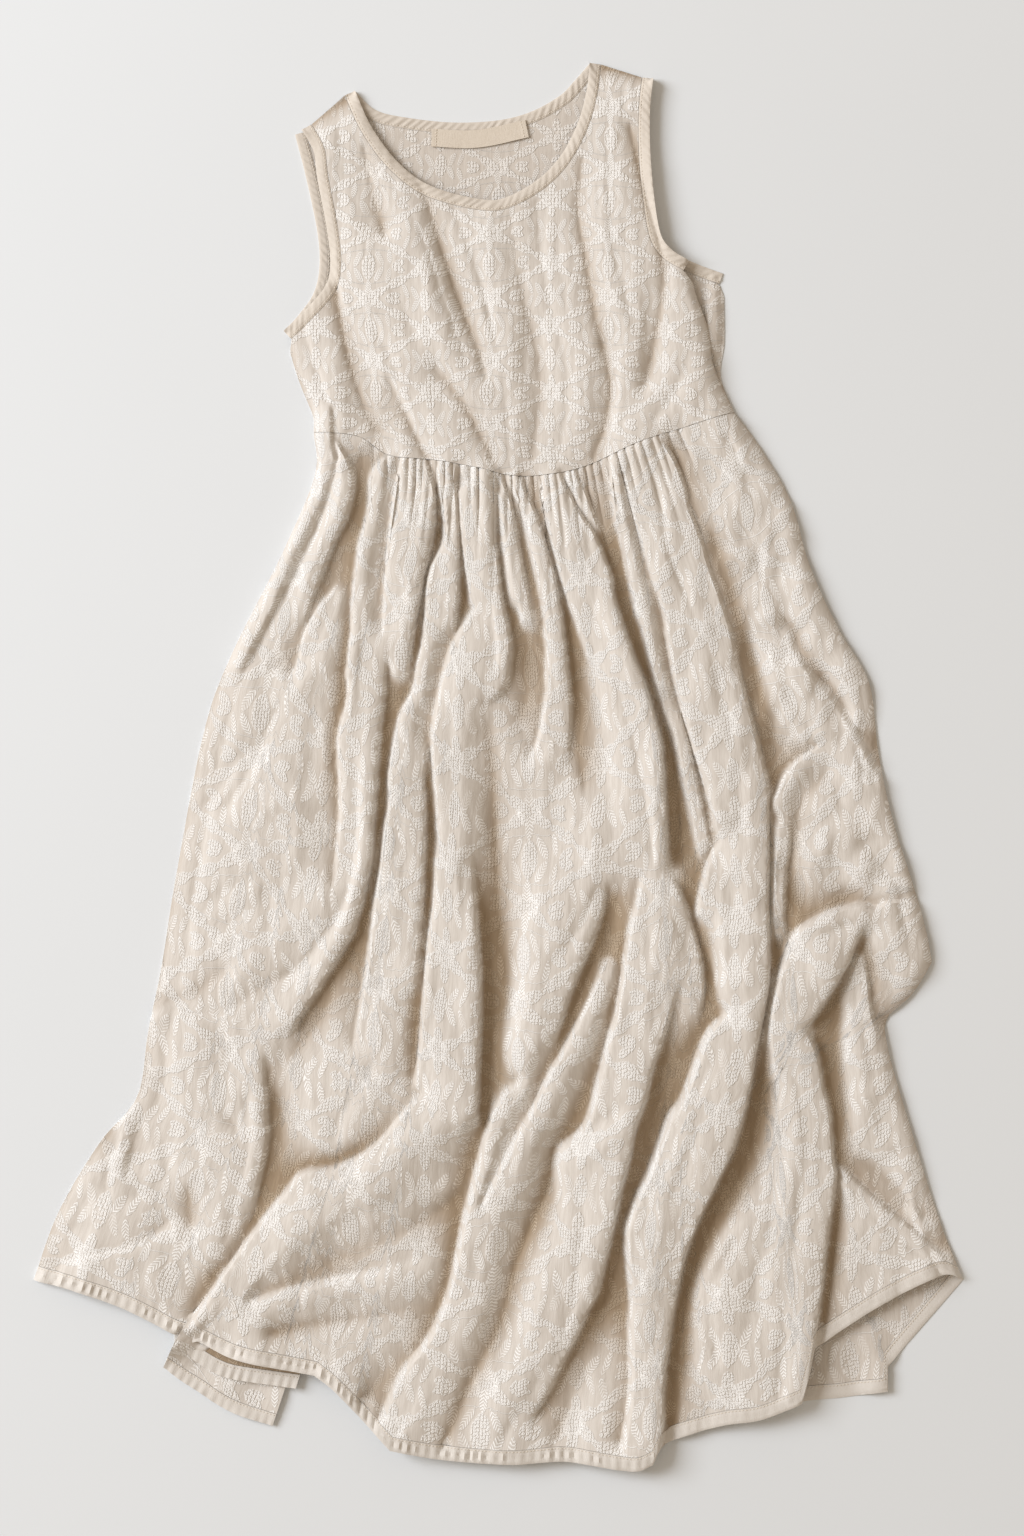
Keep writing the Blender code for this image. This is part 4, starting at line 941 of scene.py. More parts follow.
# ---------------------------------------------------------------- materials
class Graph:
    """Short calls that add nodes to a node tree."""

    def __init__(self, tree):
        self.tree = tree

    def put(self, value, socket):
        """Sets an input, to a value or to another node's output."""
        if isinstance(value, bpy.types.NodeSocket):
            self.tree.links.new(value, socket)
        else:
            socket.default_value = value

    def node(self, kind, inputs=None, **settings):
        """A node with its settings and inputs."""
        made = self.tree.nodes.new(kind)
        for key, value in settings.items():
            setattr(made, key, value)
        for key, value in (inputs or {}).items():
            self.put(value, made.inputs[key])
        return made

    def math(self, operation, *values):
        """A Math node's result."""
        return self.node("ShaderNodeMath", dict(enumerate(values)), operation=operation).outputs[0]

    def product(self, *values):
        """Several values multiplied."""
        return reduce(lambda one, other: self.math("MULTIPLY", one, other), values)

    def most(self, *values):
        """The greatest of several values."""
        return reduce(lambda one, other: self.math("MAXIMUM", one, other), values)

    def vector(self, operation, *values):
        """A Vector Math node's result."""
        return self.node("ShaderNodeVectorMath", dict(enumerate(values)),
                         operation=operation).outputs[0]

    def scaled(self, vector, factor):
        """A vector times a number."""
        return self.node("ShaderNodeVectorMath", {0: vector, "Scale": factor},
                         operation="SCALE").outputs[0]

    def parts(self, vector):
        """A vector's X, Y and Z."""
        return self.node("ShaderNodeSeparateXYZ", {0: vector}).outputs

    def ramp(self, value, low, high, to_low=0.0, to_high=1.0):
        """A value moved smoothly from one range to another, and held at its ends."""
        return self.node("ShaderNodeMapRange", {0: value, 1: low, 2: high, 3: to_low, 4: to_high},
                         interpolation_type="SMOOTHSTEP").outputs[0]

    def noise(self, place, kind, output=0):
        """Noise of about zero to one."""
        return self.node("ShaderNodeTexNoise", {
            "Vector": place, "Scale": kind.scale, "Detail": kind.detail,
            "Roughness": kind.roughness}).outputs[output]

    def mix(self, share, first, second, blend="MIX"):
        """One colour turning into another, or blended with it."""
        made = self.node("ShaderNodeMix", data_type="RGBA", blend_type=blend)
        sockets = {socket.identifier: socket for socket in made.inputs}
        for key, value in (("Factor_Float", share), ("A_Color", first), ("B_Color", second)):
            self.put(value, sockets[key])
        return next(s for s in made.outputs if s.identifier == "Result_Color")


def colour(red, green, blue):
    """A colour with full alpha."""
    return (red, green, blue, 1.0)


CLOTH_LOOK = {"Sheen Roughness": 0.5, "Specular IOR Level": 0.25}


def new_material(name, roughness, sheen):
    """A Principled material and its graph."""
    made = bpy.data.materials.new(name)
    made.use_nodes = True
    shader = made.node_tree.nodes["Principled BSDF"]
    look = {"Roughness": roughness, "Sheen Weight": sheen, **CLOTH_LOOK}
    for key, value in look.items():
        shader.inputs[key].default_value = value
    return made, Graph(made.node_tree), shader


def finish_with(graph, shader, base, relief_mm):
    """Links a base colour, and a relief given in millimetres, to a shader."""
    bump = graph.node("ShaderNodeBump", {"Height": relief_mm, "Strength": 1.0, "Distance": MM})
    graph.put(base, shader.inputs["Base Color"])
    graph.put(bump.outputs[0], shader.inputs["Normal"])


# The embroidery's chart.  Its lattice repeats over a cell twice REPEAT wide and high, and is
# mirrored at the cell's middle lines.  A leaf's length and width are half of the whole, its
# angle is in degrees, and it is filled with knots (1) or satin stitches (0).
REPEAT = (80.0, 43.0)
Leaf = namedtuple("Leaf", "x y angle length width knots")
CHART = tuple(Leaf(*row) for row in (
    # the lattice's bands, from one node to the next
    (68, 6.5, -28, 15, 6.2, 1),
    (41, 21, -28, 17, 6.6, 1),
    (13, 36, -28, 15, 6.2, 1),
    # upright leaves between the bands, and at their side
    (0, 0, 90, 19, 9.5, 1),
    (80, 43, 90, 17, 8.5, 1),
    (66, 36, 62, 13, 4.4, 0),
    (14, 11, 118, 13, 4.4, 0),
    # sprays at the nodes
    (80, 13, 90, 11, 6.0, 1),
    (0, 29, 90, 12, 4.8, 0),
    (71, 3, 52, 11, 3.6, 0),
    (9, 38, 48, 11, 3.6, 0),
    # single buds
    (42, 4, 20, 10, 5.0, 1),
    (34, 40, -15, 10, 5.0, 1),
    (52, 32, 70, 11, 3.6, 0),
    (28, 13, 100, 11, 3.6, 0)))
BODICE_CHART = 0.66         # the chart's scale in the bodice
LEAF_TAPER = 3.0            # the power by which a leaf narrows towards its tips
LEAF_EDGE = -0.06, 0.22     # how far inside its outline it begins to rise, and is full
SATIN_PITCH = 3.2           # millimetres from stitch to stitch
SATIN_ROUND = -0.5, 0.3, 0.1, 1.0
SATIN_RELIEF = 0.4
KNOT_PITCH = 3.0            # millimetres from knot to knot
KNOT_STRAY = 0.35           # how unevenly they lie
KNOT_ROUND = 0.60, 0.28     # where, from its middle, a knot rises and is full
KNOT_DIMPLE = 0.03, 0.24, 0.45, 1.0     # and where it sinks again, and how far
KNOT_RELIEF = 0.62
KNOT_SHADE = 0.36           # how much of the thread's colour lies between the knots
LINE_EDGE = 3.3, 2.2        # the lattice's line: where it begins and is full, from its middle
CORD_EDGE = 0.6, 0.24       # and the thin cord's
CORD_WAVE = 7.0, 16.0       # how far the cord swings, and about what
CORD_RELIEF = 0.4
CORD_COVER = 0.7
STRAY_MM = 12.0             # how far the chart wanders, as worked cloth does

# Noises, with their scales for each metre: the chart's wandering, how thinly stretches are
# worked, crinkle, slubs, weave, and the trims' blotches and slubs.
Noise = namedtuple("Noise", "scale detail roughness", defaults=(2.0, 0.5))
STRAY = Noise(14.0, 1.0)
WORN = Noise(26.0, 3.0, 0.6)
WORN_RANGE = 0.36, 0.52, 0.3, 1.0
KEPT_RANGE = 0.35, 0.55
CRINKLE = Noise(300.0, 2.0, 0.55)
SLUB = Noise(900.0, 2.0, 0.6)
WEAVE = Noise(1600.0, 1.0)
CRINKLE_RELIEF, SLUB_RELIEF, WEAVE_RELIEF = 0.34, 0.08, 0.05
GRAIN = (1.0, 0.09, 1.0)    # how they are drawn out along the cloth
THREADS_RANGE = 0.36, 0.64
BLOTCH = Noise(160.0, 3.0, 0.6)
TRIM_SLUB = Noise(900.0)
TRIM_GRAIN = (1.0, 0.15, 1.0)
TRIM_RELIEF = 0.18

GROUND = colour(0.645, 0.595, 0.54), colour(0.72, 0.675, 0.62)
WHITE_THREAD = colour(0.96, 0.945, 0.92)
# Painted shade: over which part of the depth attribute's range the cloth's colour turns to this dark warm
# tint
PAINTED_SHADE_RANGE = 0.0, 0.9
PAINTED_SHADE_TINT = colour(0.52, 0.42, 0.31)


def leaf_group():
    """A node group: how far a place is inside a pointed leaf, and the leaf's satin stitches."""
    tree = bpy.data.node_groups.new("Leaf", "ShaderNodeTree")
    for name, kind in (("Place", "NodeSocketVector"), ("Middle", "NodeSocketVector"),
                       ("Turn", "NodeSocketFloat"), ("Size", "NodeSocketVector")):
        tree.interface.new_socket(name, in_out="INPUT", socket_type=kind)
    for name in ("Inside", "Satin"):
        tree.interface.new_socket(name, in_out="OUTPUT", socket_type="NodeSocketFloat")
    graph = Graph(tree)
    given = graph.node("NodeGroupInput").outputs
    turned = graph.node("ShaderNodeVectorRotate", {
        "Vector": given["Place"], "Center": given["Middle"], "Angle": given["Turn"]},
        rotation_type="Z_AXIS", invert=True).outputs[0]
    local = graph.vector("SUBTRACT", turned, given["Middle"])
    part = graph.parts(graph.vector("ABSOLUTE", graph.vector("DIVIDE", local, given["Size"])))
    tapered = graph.math("SUBTRACT", 1.0, graph.math("POWER", part[0], LEAF_TAPER))
    inside = graph.ramp(graph.math("SUBTRACT", tapered, part[1]), *LEAF_EDGE)
    run = graph.parts(local)
    slant = graph.math("ADD", run[0], graph.math("ABSOLUTE", run[1]))
    stripe = graph.math("COSINE", graph.math("MULTIPLY", slant, 2 * math.pi / SATIN_PITCH))
    graph.node("NodeGroupOutput", {
        "Inside": inside, "Satin": graph.product(inside, graph.ramp(stripe, *SATIN_ROUND))})
    return tree


def leaves(graph, place):
    """The chart's leaves: where the knotted ones are, and where the satin ones' stitches."""
    leaf = leaf_group()
    found = {"Inside": [], "Satin": []}
    for row in CHART:
        group = graph.node("ShaderNodeGroup", node_tree=leaf)
        for key, value in (("Place", place), ("Middle", (row.x, row.y, 0)),
                           ("Turn", math.radians(row.angle)), ("Size", (row.length, row.width, 1))):
            graph.put(value, group.inputs[key])
        output = "Inside" if row.knots else "Satin"
        found[output].append(group.outputs[output])
    return graph.most(*found["Inside"]), graph.most(*found["Satin"])


def embroidery(graph, cloth, chart_scale):
    """The chart's relief in millimetres, and how far its thread covers the ground."""
    stray = graph.vector("SUBTRACT", graph.noise(cloth, STRAY, "Color"), (0.5, 0.5, 0.5))
    place = graph.vector("ADD", graph.scaled(cloth, 1 / MM / chart_scale),
                         graph.scaled(stray, STRAY_MM))
    part = graph.parts(place)
    folded = [graph.math("PINGPONG", part[k], REPEAT[k]) for k in (0, 1)]
    mirrored = graph.node("ShaderNodeCombineXYZ", {0: folded[0], 1: folded[1], 2: 0.0}).outputs[0]
    knots, satin = leaves(graph, mirrored)
    # the lattice's line itself, from corner to corner of the cell
    line = graph.math("MULTIPLY_ADD", folded[0], REPEAT[1],
                      graph.math("MULTIPLY_ADD", folded[1], REPEAT[0], -REPEAT[0] * REPEAT[1]))
    line = graph.math("ABSOLUTE", graph.math("DIVIDE", line, math.hypot(*REPEAT)))
    knots = graph.most(knots, graph.ramp(line, *LINE_EDGE))
    # rows of small loops, each with a dimple, and with shade between them
    cells = graph.node("ShaderNodeTexVoronoi", {
        "Vector": place, "Scale": chart_scale / KNOT_PITCH, "Randomness": KNOT_STRAY},
        voronoi_dimensions="2D").outputs
    knot = graph.product(graph.ramp(cells["Distance"], *KNOT_ROUND),
                         graph.ramp(cells["Distance"], *KNOT_DIMPLE))
    own = graph.node("ShaderNodeSeparateColor", {0: cells["Color"]}).outputs[0]
    worn = graph.ramp(graph.noise(cloth, WORN), *WORN_RANGE)
    kept = graph.ramp(graph.math("ADD", own, worn), *KEPT_RANGE)
    knots_up = graph.product(knots, knot, kept)
    satin_up = graph.product(satin, worn)
    # a thin cord that waves from node to node
    wave = graph.math("COSINE", graph.math("MULTIPLY", part[0], math.pi / REPEAT[0]))
    wave = graph.math("MULTIPLY_ADD", wave, *CORD_WAVE)
    cord = graph.ramp(graph.math("ABSOLUTE", graph.math("SUBTRACT", folded[1], wave)), *CORD_EDGE)
    relief = graph.most(graph.product(knots_up, KNOT_RELIEF), graph.product(satin_up, SATIN_RELIEF),
                        graph.product(cord, CORD_RELIEF))
    cover = graph.most(knots_up, satin_up, graph.product(knots, worn, KNOT_SHADE),
                       graph.product(cord, CORD_COVER))
    return relief, cover


def embroidered(name, chart_scale=1.0):
    """Crinkled cream cotton with the chart's raised white embroidery, and painted shade deep in its
    folds.
    """
    made, graph, shader = new_material(name, 0.85, 0.12)
    cloth = graph.node("ShaderNodeUVMap", uv_map="Cloth").outputs[0]
    worked, cover = embroidery(graph, cloth, chart_scale)
    along = graph.vector("MULTIPLY", cloth, GRAIN)
    crinkle, slub = graph.noise(along, CRINKLE), graph.noise(along, SLUB)
    relief = graph.math("MULTIPLY_ADD", crinkle, CRINKLE_RELIEF, graph.product(slub, SLUB_RELIEF))
    relief = graph.math("MULTIPLY_ADD", graph.noise(cloth, WEAVE), WEAVE_RELIEF, relief)
    threads = graph.math("MULTIPLY_ADD", slub, 0.5, graph.product(crinkle, 0.5))
    base = graph.mix(cover, graph.mix(graph.ramp(threads, *THREADS_RANGE), *GROUND), WHITE_THREAD)
    # painted shade: cloth deep in a fold is darkened and warmed by its depth attribute, standing in for
    # the shade there
    depth = graph.node("ShaderNodeAttribute", attribute_name="depth").outputs["Fac"]
    painted_tint = graph.mix(graph.ramp(depth, *PAINTED_SHADE_RANGE), colour(1, 1, 1), PAINTED_SHADE_TINT)
    finish_with(graph, shader, graph.mix(1.0, base, painted_tint, "MULTIPLY"),
                graph.math("ADD", relief, worked))
    return made


def woven(name, light, dark, pitch_mm, relief_mm, slant=0):
    """A plain narrow cloth: fine threads, slanted by some degrees, with soft blotches."""
    made, graph, shader = new_material(name, 0.88, 0.1)
    cloth = graph.node("ShaderNodeUVMap", uv_map="Cloth").outputs[0]
    turned = graph.node("ShaderNodeVectorRotate", {"Vector": cloth, "Angle": math.radians(slant)},
                        rotation_type="Z_AXIS").outputs[0]
    part = graph.parts(turned)
    turns = 2 * math.pi / (pitch_mm * MM)
    warp, weft = (graph.math("SINE", graph.math("MULTIPLY", part[k], turns)) for k in (0, 1))
    threads = graph.math("MULTIPLY_ADD", graph.product(warp, weft), 0.5, 0.5)
    blotch = graph.noise(cloth, BLOTCH)
    slub = graph.noise(graph.vector("MULTIPLY", turned, TRIM_GRAIN), TRIM_SLUB)
    base = graph.mix(graph.math("MULTIPLY_ADD", blotch, 0.7, graph.product(slub, 0.3)), dark, light)
    uneven = graph.product(graph.math("ADD", blotch, slub), TRIM_RELIEF)
    finish_with(graph, shader, base, graph.math("MULTIPLY_ADD", threads, relief_mm, uneven))
    return made


SKIRT_CLOTH = embroidered("skirt_cotton")
BODICE_CLOTH = embroidered("bodice_cotton", BODICE_CHART)
BIAS = woven("bias_cotton", colour(0.735, 0.675, 0.605), colour(0.63, 0.56, 0.475), 0.7, 0.10, 45)
HEM = woven("hem_cotton", colour(0.78, 0.745, 0.70), colour(0.67, 0.62, 0.56), 0.7, 0.08)
TAPE = woven("label_tape", colour(0.755, 0.68, 0.585), colour(0.69, 0.605, 0.50), 0.6, 0.10)
THREAD = woven("sewing_thread", colour(0.84, 0.78, 0.69), colour(0.70, 0.62, 0.52), 0.4, 0.05, 30)


# ---------------------------------------------------------------- cloth pieces
# A side of the dress: its height and depth (its painted shade), how much coarser its undersides are
# than its tops, its panels' coarse cells across and down with how much finer they are made, its hem's
# rows.
Side = namedtuple("Side", "name height depth stride skirt_cells bodice_cells hem_rows")
FRONT = Side("front", front_height, front_painted_shade, 4, (58, 44, 6), (24, 20, 10), 9)
BACK = Side("back", back_height, back_painted_shade, 2, (32, 28, 4), (24, 20, 6), 7)
SIDE_SKIPPED = 20           # points of a side seam that are left to the armhole's binding
STRAP_POINTS = 60

# A groove that stitches press in: how far down a strip, how wide and how deep.
Groove = namedtuple("Groove", "at width depth")
PUCKER_RUN = 1.7            # waves from one draw of a pucker's shift and size to the next
PUCKER_DRAWS = 4            # the least number of draws
PUCKER_SHIFT = -1.7, 1.7
PUCKER_SIZE = 0.25, 1.3

HEM_WAVE = 8.6              # wavelength of a hem's puckers
HEM_PUCKER = (-430, 120, 200, 420), (1.5, 1.0, 0.35, 0.2)   # how high, from left to right
HEM_PUCKER_POWER = 0.7
HEM_GROOVE = Groove(1.6, 0.8, 0.35)
HEM_CROWN = 0.55, 0.12      # the share of its rise at its fold, and over how much of it that grows
HEM_STITCHES = 0.12         # how far down its width the stitches run
HEM_PITCH = 3.2             # from stitch to stitch

BINDING_ROWS = 11
BINDING_STEP = 1.4          # spacing of its points along the edge
BINDING_BASE = 0.7          # its thickness at its edges
BINDING_RISE = 1.1          # and how much more in its middle
BINDING_DOME = 0.95, 5      # twice that middle's share of its width, and how flat it is on top
BINDING_WAVE = 7.5
BINDING_PUCKER = 0.5
BINDING_GROOVE = Groove(8.0, 0.7, 0.4)
BINDING_STITCHES = 0.83
BINDING_PITCH = 3.0

LABEL_POINTS = 13, 61
LABEL_LENGTH = 84
LABEL_DEPTH = 16
LABEL_THICKNESS = 0.6
LABEL_FOLD = 0.35           # how much thicker it is at its folded ends
LABEL_ENDS = 4, 5           # and how wide those are
LABEL_BOW = 0.5, 2.6 * math.pi, 0.6     # its lower edge's wave: how high, its turns and its start
LABEL_FOLLOWS = 0.7         # the share of that wave that its underside has
LABEL_PITCH = 2.6

# A stitch's rings: how far along it, how large, and how much higher or lower than the rest.
StitchRing = namedtuple("StitchRing", "along size rise")
STITCH_RINGS = tuple(StitchRing(*row) for row in (
    (0, 0.3, -0.2), (0.15, 1, 0), (0.5, 1.1, 0.12), (0.85, 1, 0), (1, 0.3, -0.2)))
STITCH_SIDES = 6
STITCH_RADIUS = 0.32
STITCH_LIFT = 0.12


def pressed(groove, down):
    """How deep a groove is at distances down a strip."""
    return groove.depth * fading(down - groove.at, groove.width)


def cloth_panel(side, name, floor, material, extra=None):
    """A panel over floor points; extra is added to its height."""
    if side is FRONT:
        floor = snapped(floor)
    height = side.height(floor)
    if extra is not None:
        height = np.maximum(height + extra, LOWEST)
    under = raised(floor, height)
    if material is SKIRT_CLOTH:
        places = flat_places(floor, height)
    else:
        places = floor + np.array(HIDDEN) * height[..., None]
    made = shell(name + "_cloth", thickened(under, CLOTH), under, material, places,
                 side.depth(floor), side.stride)
    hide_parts(name)
    return made


def split_hem(floor, rows):
    """The columns above a hem, and the hem's own strip, both evenly spaced."""
    panel, band = [], []
    for column in np.moveaxis(floor, 1, 0):
        end = travelled(column)[-1]
        panel.append(points_at(column, np.linspace(0, end - HEM_WIDTH - SEAM_GAP, len(floor))))
        band.append(points_at(column, np.linspace(end - HEM_WIDTH, end, rows)))
    return np.stack(panel, 1), np.stack(band, 1)


def gathered(floor):
    """Round puffs between the gathers' creases, below the waist seam."""
    x = floor[0, :, 0]
    below = travelled(floor)
    crease, reach = np.array(GATHERS, float).T
    right = np.clip(np.searchsorted(crease, x), 1, len(crease) - 1)
    left = right - 1
    spacing = crease[right] - crease[left]
    across = np.clip((x - crease[left]) / spacing, 0, 1)
    puff = np.sqrt(1 - (2 * across - 1) ** 2)
    near = PUFF_REACH * np.where(across < 0.5, reach[left], reach[right])
    rise = PUFF * np.minimum(spacing / PUFF_SPACING, PUFF_MOST)
    inside = (np.clip((x - crease[0] + PUFF_ENDS / 2) / PUFF_ENDS, 0, 1)
              * np.clip((crease[-1] - x) / PUFF_ENDS, 0, 1))
    lift, lift_reach = PUFF_LIFT
    dip, more, dip_width = SEAM_DIP
    return (inside * rise * ((puff - 1) * fading(below, near) + lift * fading(below, lift_reach))
            - (dip + more * inside) * fading(below, dip_width))


def puckers(run, wavelength, seed):
    """Uneven waves along a run: crowded and strong in places, slack in others."""
    draws = np.random.default_rng(seed)
    count = max(int(np.ptp(run) / (PUCKER_RUN * wavelength)), PUCKER_DRAWS)
    places = np.linspace(run.min(), run.max(), count)
    shift, size = (np.interp(run, places, draws.uniform(*ends, count))
                   for ends in (PUCKER_SHIFT, PUCKER_SIZE))
    return size * np.cos(2 * math.pi * run / wavelength + shift)


def hem_band(side, band):
    """The turned-up hem: a thicker strip with a puckered face and a stitch line."""
    edge = band[-1]
    run = travelled(edge)
    down = np.linspace(0, 1, len(band))[:, None]
    pucker = puckers(run, HEM_WAVE, 21) * np.sin(math.pi * down) ** HEM_PUCKER_POWER
    pucker *= np.interp(edge[:, 0], *HEM_PUCKER)
    fold, grows = HEM_CROWN
    crown = fold + (1 - fold) * np.sqrt(np.clip((1 - down) / grows, 0, 1))
    under = raised(band, side.height(band))
    over = lifted(under, HEM_RISE * crown + pucker - pressed(HEM_GROOVE, down * HEM_WIDTH))
    name = "hem_" + side.name
    made = shell(name + "_band", over, under, HEM, strip_places(run, down * HEM_WIDTH),
                 side.depth(band))
    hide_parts(name)
    return made, over


def skirt(side, waist, hem):
    """A skirt panel, its hem, and the hem's face."""
    cells, rows, factor = side.skirt_cells
    top = stretches([beside(through(waist), SEAM_GAP / 2)], cells, factor, 0)
    left = stretches([through(SKIRT_LEFT)], rows, factor, 1)
    right = stretches([through(part) for part in SKIRT_RIGHT], rows, factor, 1)
    left[0], right[0] = top[0], top[-1]
    bottom = stretches([through(part) for part in hem], cells, factor, 0)
    floor, band = split_hem(patch(top, bottom, left, right, factor), side.hem_rows)
    extra = gathered(floor) if side is FRONT else None
    panel = cloth_panel(side, "skirt_" + side.name, floor, SKIRT_CLOTH, extra)
    return panel, *hem_band(side, band)


def bodice(side, neck, armholes, sides, waist):
    """A bodice panel inside its bindings."""
    across, down, factor = side.bodice_cells
    inset = BINDING_WIDTH + SEAM_GAP
    neck_seam = beside(through(neck), inset)
    left, right = (np.vstack((beside(through(arm), turn * inset), through(seam)[SIDE_SKIPPED:]))
                   for arm, seam, turn in zip(armholes, sides, (-1, 1)))
    bottom = stretches([beside(through(waist), -SEAM_GAP / 2)], across, factor, 0)
    left[-1], right[-1] = bottom[0], bottom[-1]
    left, right = (stretches([edge], down, factor, 1) for edge in (left, right))
    straps = (np.linspace(left[0], neck_seam[0], STRAP_POINTS),
              np.linspace(neck_seam[-1], right[0], STRAP_POINTS))
    top = stretches([straps[0], neck_seam, straps[1]], across, factor, 0)
    floor = patch(top, bottom, left, right, factor)
    return cloth_panel(side, "bodice_" + side.name, floor, BODICE_CLOTH)


def binding(side, name, outline, turn, seed):
    """A folded bias strip along an edge, puckered across its slant, stitched inside."""
    edge = through(outline)
    edge = resample(edge, 2 * int(length_of(edge) / BINDING_STEP / 2) + 1)
    down = np.linspace(0, BINDING_WIDTH, BINDING_ROWS)[:, None]
    floor = np.stack([beside(edge, turn * away) for away in down[:, 0]])
    if turn < 0:
        floor = floor[:, ::-1]
    run = travelled(floor[0])
    pucker = BINDING_PUCKER * puckers(run + down, BINDING_WAVE, seed)
    middle, power = BINDING_DOME
    dome = (1 - np.abs(2 * down / BINDING_WIDTH - middle) ** power).clip(0)
    under = raised(floor, side.height(floor))
    over = lifted(under, BINDING_BASE + (BINDING_RISE + pucker) * dome
                  - pressed(BINDING_GROOVE, down))
    made = shell(name + "_strip", over, under, BIAS, strip_places(run, down))
    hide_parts(name)
    return over


def label():
    """A blank woven tape, folded under at its ends; its face is returned."""
    rows, cols = LABEL_POINTS
    edge = resample(through(LABEL_TOP), cols)
    down = np.linspace(0, LABEL_DEPTH, rows)[:, None]
    along = np.linspace(0, 1, cols)
    floor = np.stack([beside(edge, away) for away in down[:, 0]])
    folds = sum(np.exp(-(away * LABEL_LENGTH / width) ** 4)
                for away, width in zip((along, 1 - along), LABEL_ENDS))
    high, turns, start = LABEL_BOW
    bow = np.maximum(high * np.sin(turns * along + start) * down / LABEL_DEPTH, 0)
    under = raised(floor, TRIM + SEAM_GAP + LABEL_FOLLOWS * bow)
    over = raised(floor, TRIM + SEAM_GAP + LABEL_THICKNESS + LABEL_FOLD * folds + bow)
    made = shell("label_tape", over, under, TAPE, strip_places(LABEL_LENGTH * along, down))
    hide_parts("label")
    return over


def puckered(name, middle, width):
    """A narrow turned-up hem about a middle surface, puckered along its run, and its face."""
    normal = np.cross(np.gradient(middle, axis=0), np.gradient(middle, axis=1))
    normal /= np.linalg.norm(normal, axis=-1)[..., None]
    run = travelled(middle[-1])
    down = np.linspace(0, 1, len(middle))[:, None]
    wave = PLEAT_PUCKER * puckers(run, HEM_WAVE, 33) * np.sqrt(down)
    middle = middle + wave[..., None] * normal
    face = middle + normal * HEM_RISE / 2
    made = shell(name, face, middle - normal * HEM_RISE / 2, HEM, strip_places(run, down * width))
    return made, face


def pleat_sheet(hem, up, part):
    """The underside of the pleat's lowest sheet, at shares of the way up from its hem."""
    floor = hem + part[..., None] * up
    floor[..., 0] -= PLEAT_BOW * np.sin(math.pi * part) * np.linspace(1, 0, len(hem)) ** 4
    x, y = np.moveaxis(floor, -1, 0)
    line = np.subtract(PLEAT_OVER[1], PLEAT_OVER[0])
    away = (floor - PLEAT_OVER[0]) @ (line[1], -line[0]) / np.hypot(*line)
    sinks, settles = PLEAT_OVER_BLEND
    rise = np.interp(part, *PLEAT_RISE) * np.clip(2 * away / sinks, -1, 1)
    high = np.maximum(front_height(floor) + rise, PLEAT_LOW)
    begins, height, power = PLEAT_LIFTS
    lift = smooth(np.clip((away + sinks + settles) / settles, 0, 1))
    lift *= np.clip((y - begins) / height, 0, 1) ** power
    ripple = sum(row.high * np.sin(x / row.x + y / row.y) for row in PLEAT_RIPPLES)
    return raised(floor, PLEAT_LOW + ripple * (1 - lift) + lift * (high - PLEAT_LOW))


def pleat():
    """The front's pleat under its hem: a lowest sheet, and a middle one that turns round."""
    hem, top = (resample(through(path), PLEAT_POINTS) for path in (PLEAT_HEM, PLEAT_TOP))
    up = top - hem
    reach = np.linalg.norm(up, axis=1)
    begin = (PLEAT_BAND + SEAM_GAP) / reach
    under = pleat_sheet(hem, up, begin + np.linspace(1, 0, PLEAT_ROWS)[:, None] * (1 - begin))
    cloth = shell("skirt_front_pleat_cloth", thickened(under, CLOTH), under, SKIRT_CLOTH,
                  flat_places(under[..., :2], under[..., 2]), PLEAT_PAINTED_SHADE)
    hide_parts("skirt_front_pleat")
    band = pleat_sheet(hem, up, np.linspace(PLEAT_BAND / reach, np.zeros(len(hem)), BAND_ROWS))
    strip, face = puckered("pleat_lower_band", lifted(band, HEM_RISE / 2), PLEAT_BAND)
    stitches("pleat_lower_stitches", row_at(face, HEM_STITCHES), HEM_PITCH)
    mouth = resample(through(MOUTH), MOUTH_POINTS)
    inwards = np.linspace(MOUTH_BAND, 0, BAND_ROWS)[:, None, None]
    lip, face = puckered("pleat_middle_band", mouth + inwards * MOUTH_INWARD, MOUTH_BAND)
    stitches("pleat_middle_stitches", row_at(face, MOUTH_STITCHES)[MOUTH_STITCHES_FROM:],
             HEM_PITCH)
    inwards = np.linspace(MOUTH_DEPTH, MOUTH_BAND + SEAM_GAP, BAND_ROWS)[:, None, None]
    middle = mouth[MOUTH_CLOTH_FROM:] + inwards * MOUTH_INWARD
    # the cloth inside the mouth gets the full painted shade
    inner = shell("pleat_middle_cloth", lifted(middle, CLOTH / 2), lifted(middle, -CLOTH / 2),
                  SKIRT_CLOTH, flat_places(middle[..., :2], 0), INNER_PAINTED_SHADE)
    return cloth, [strip, lip, inner]


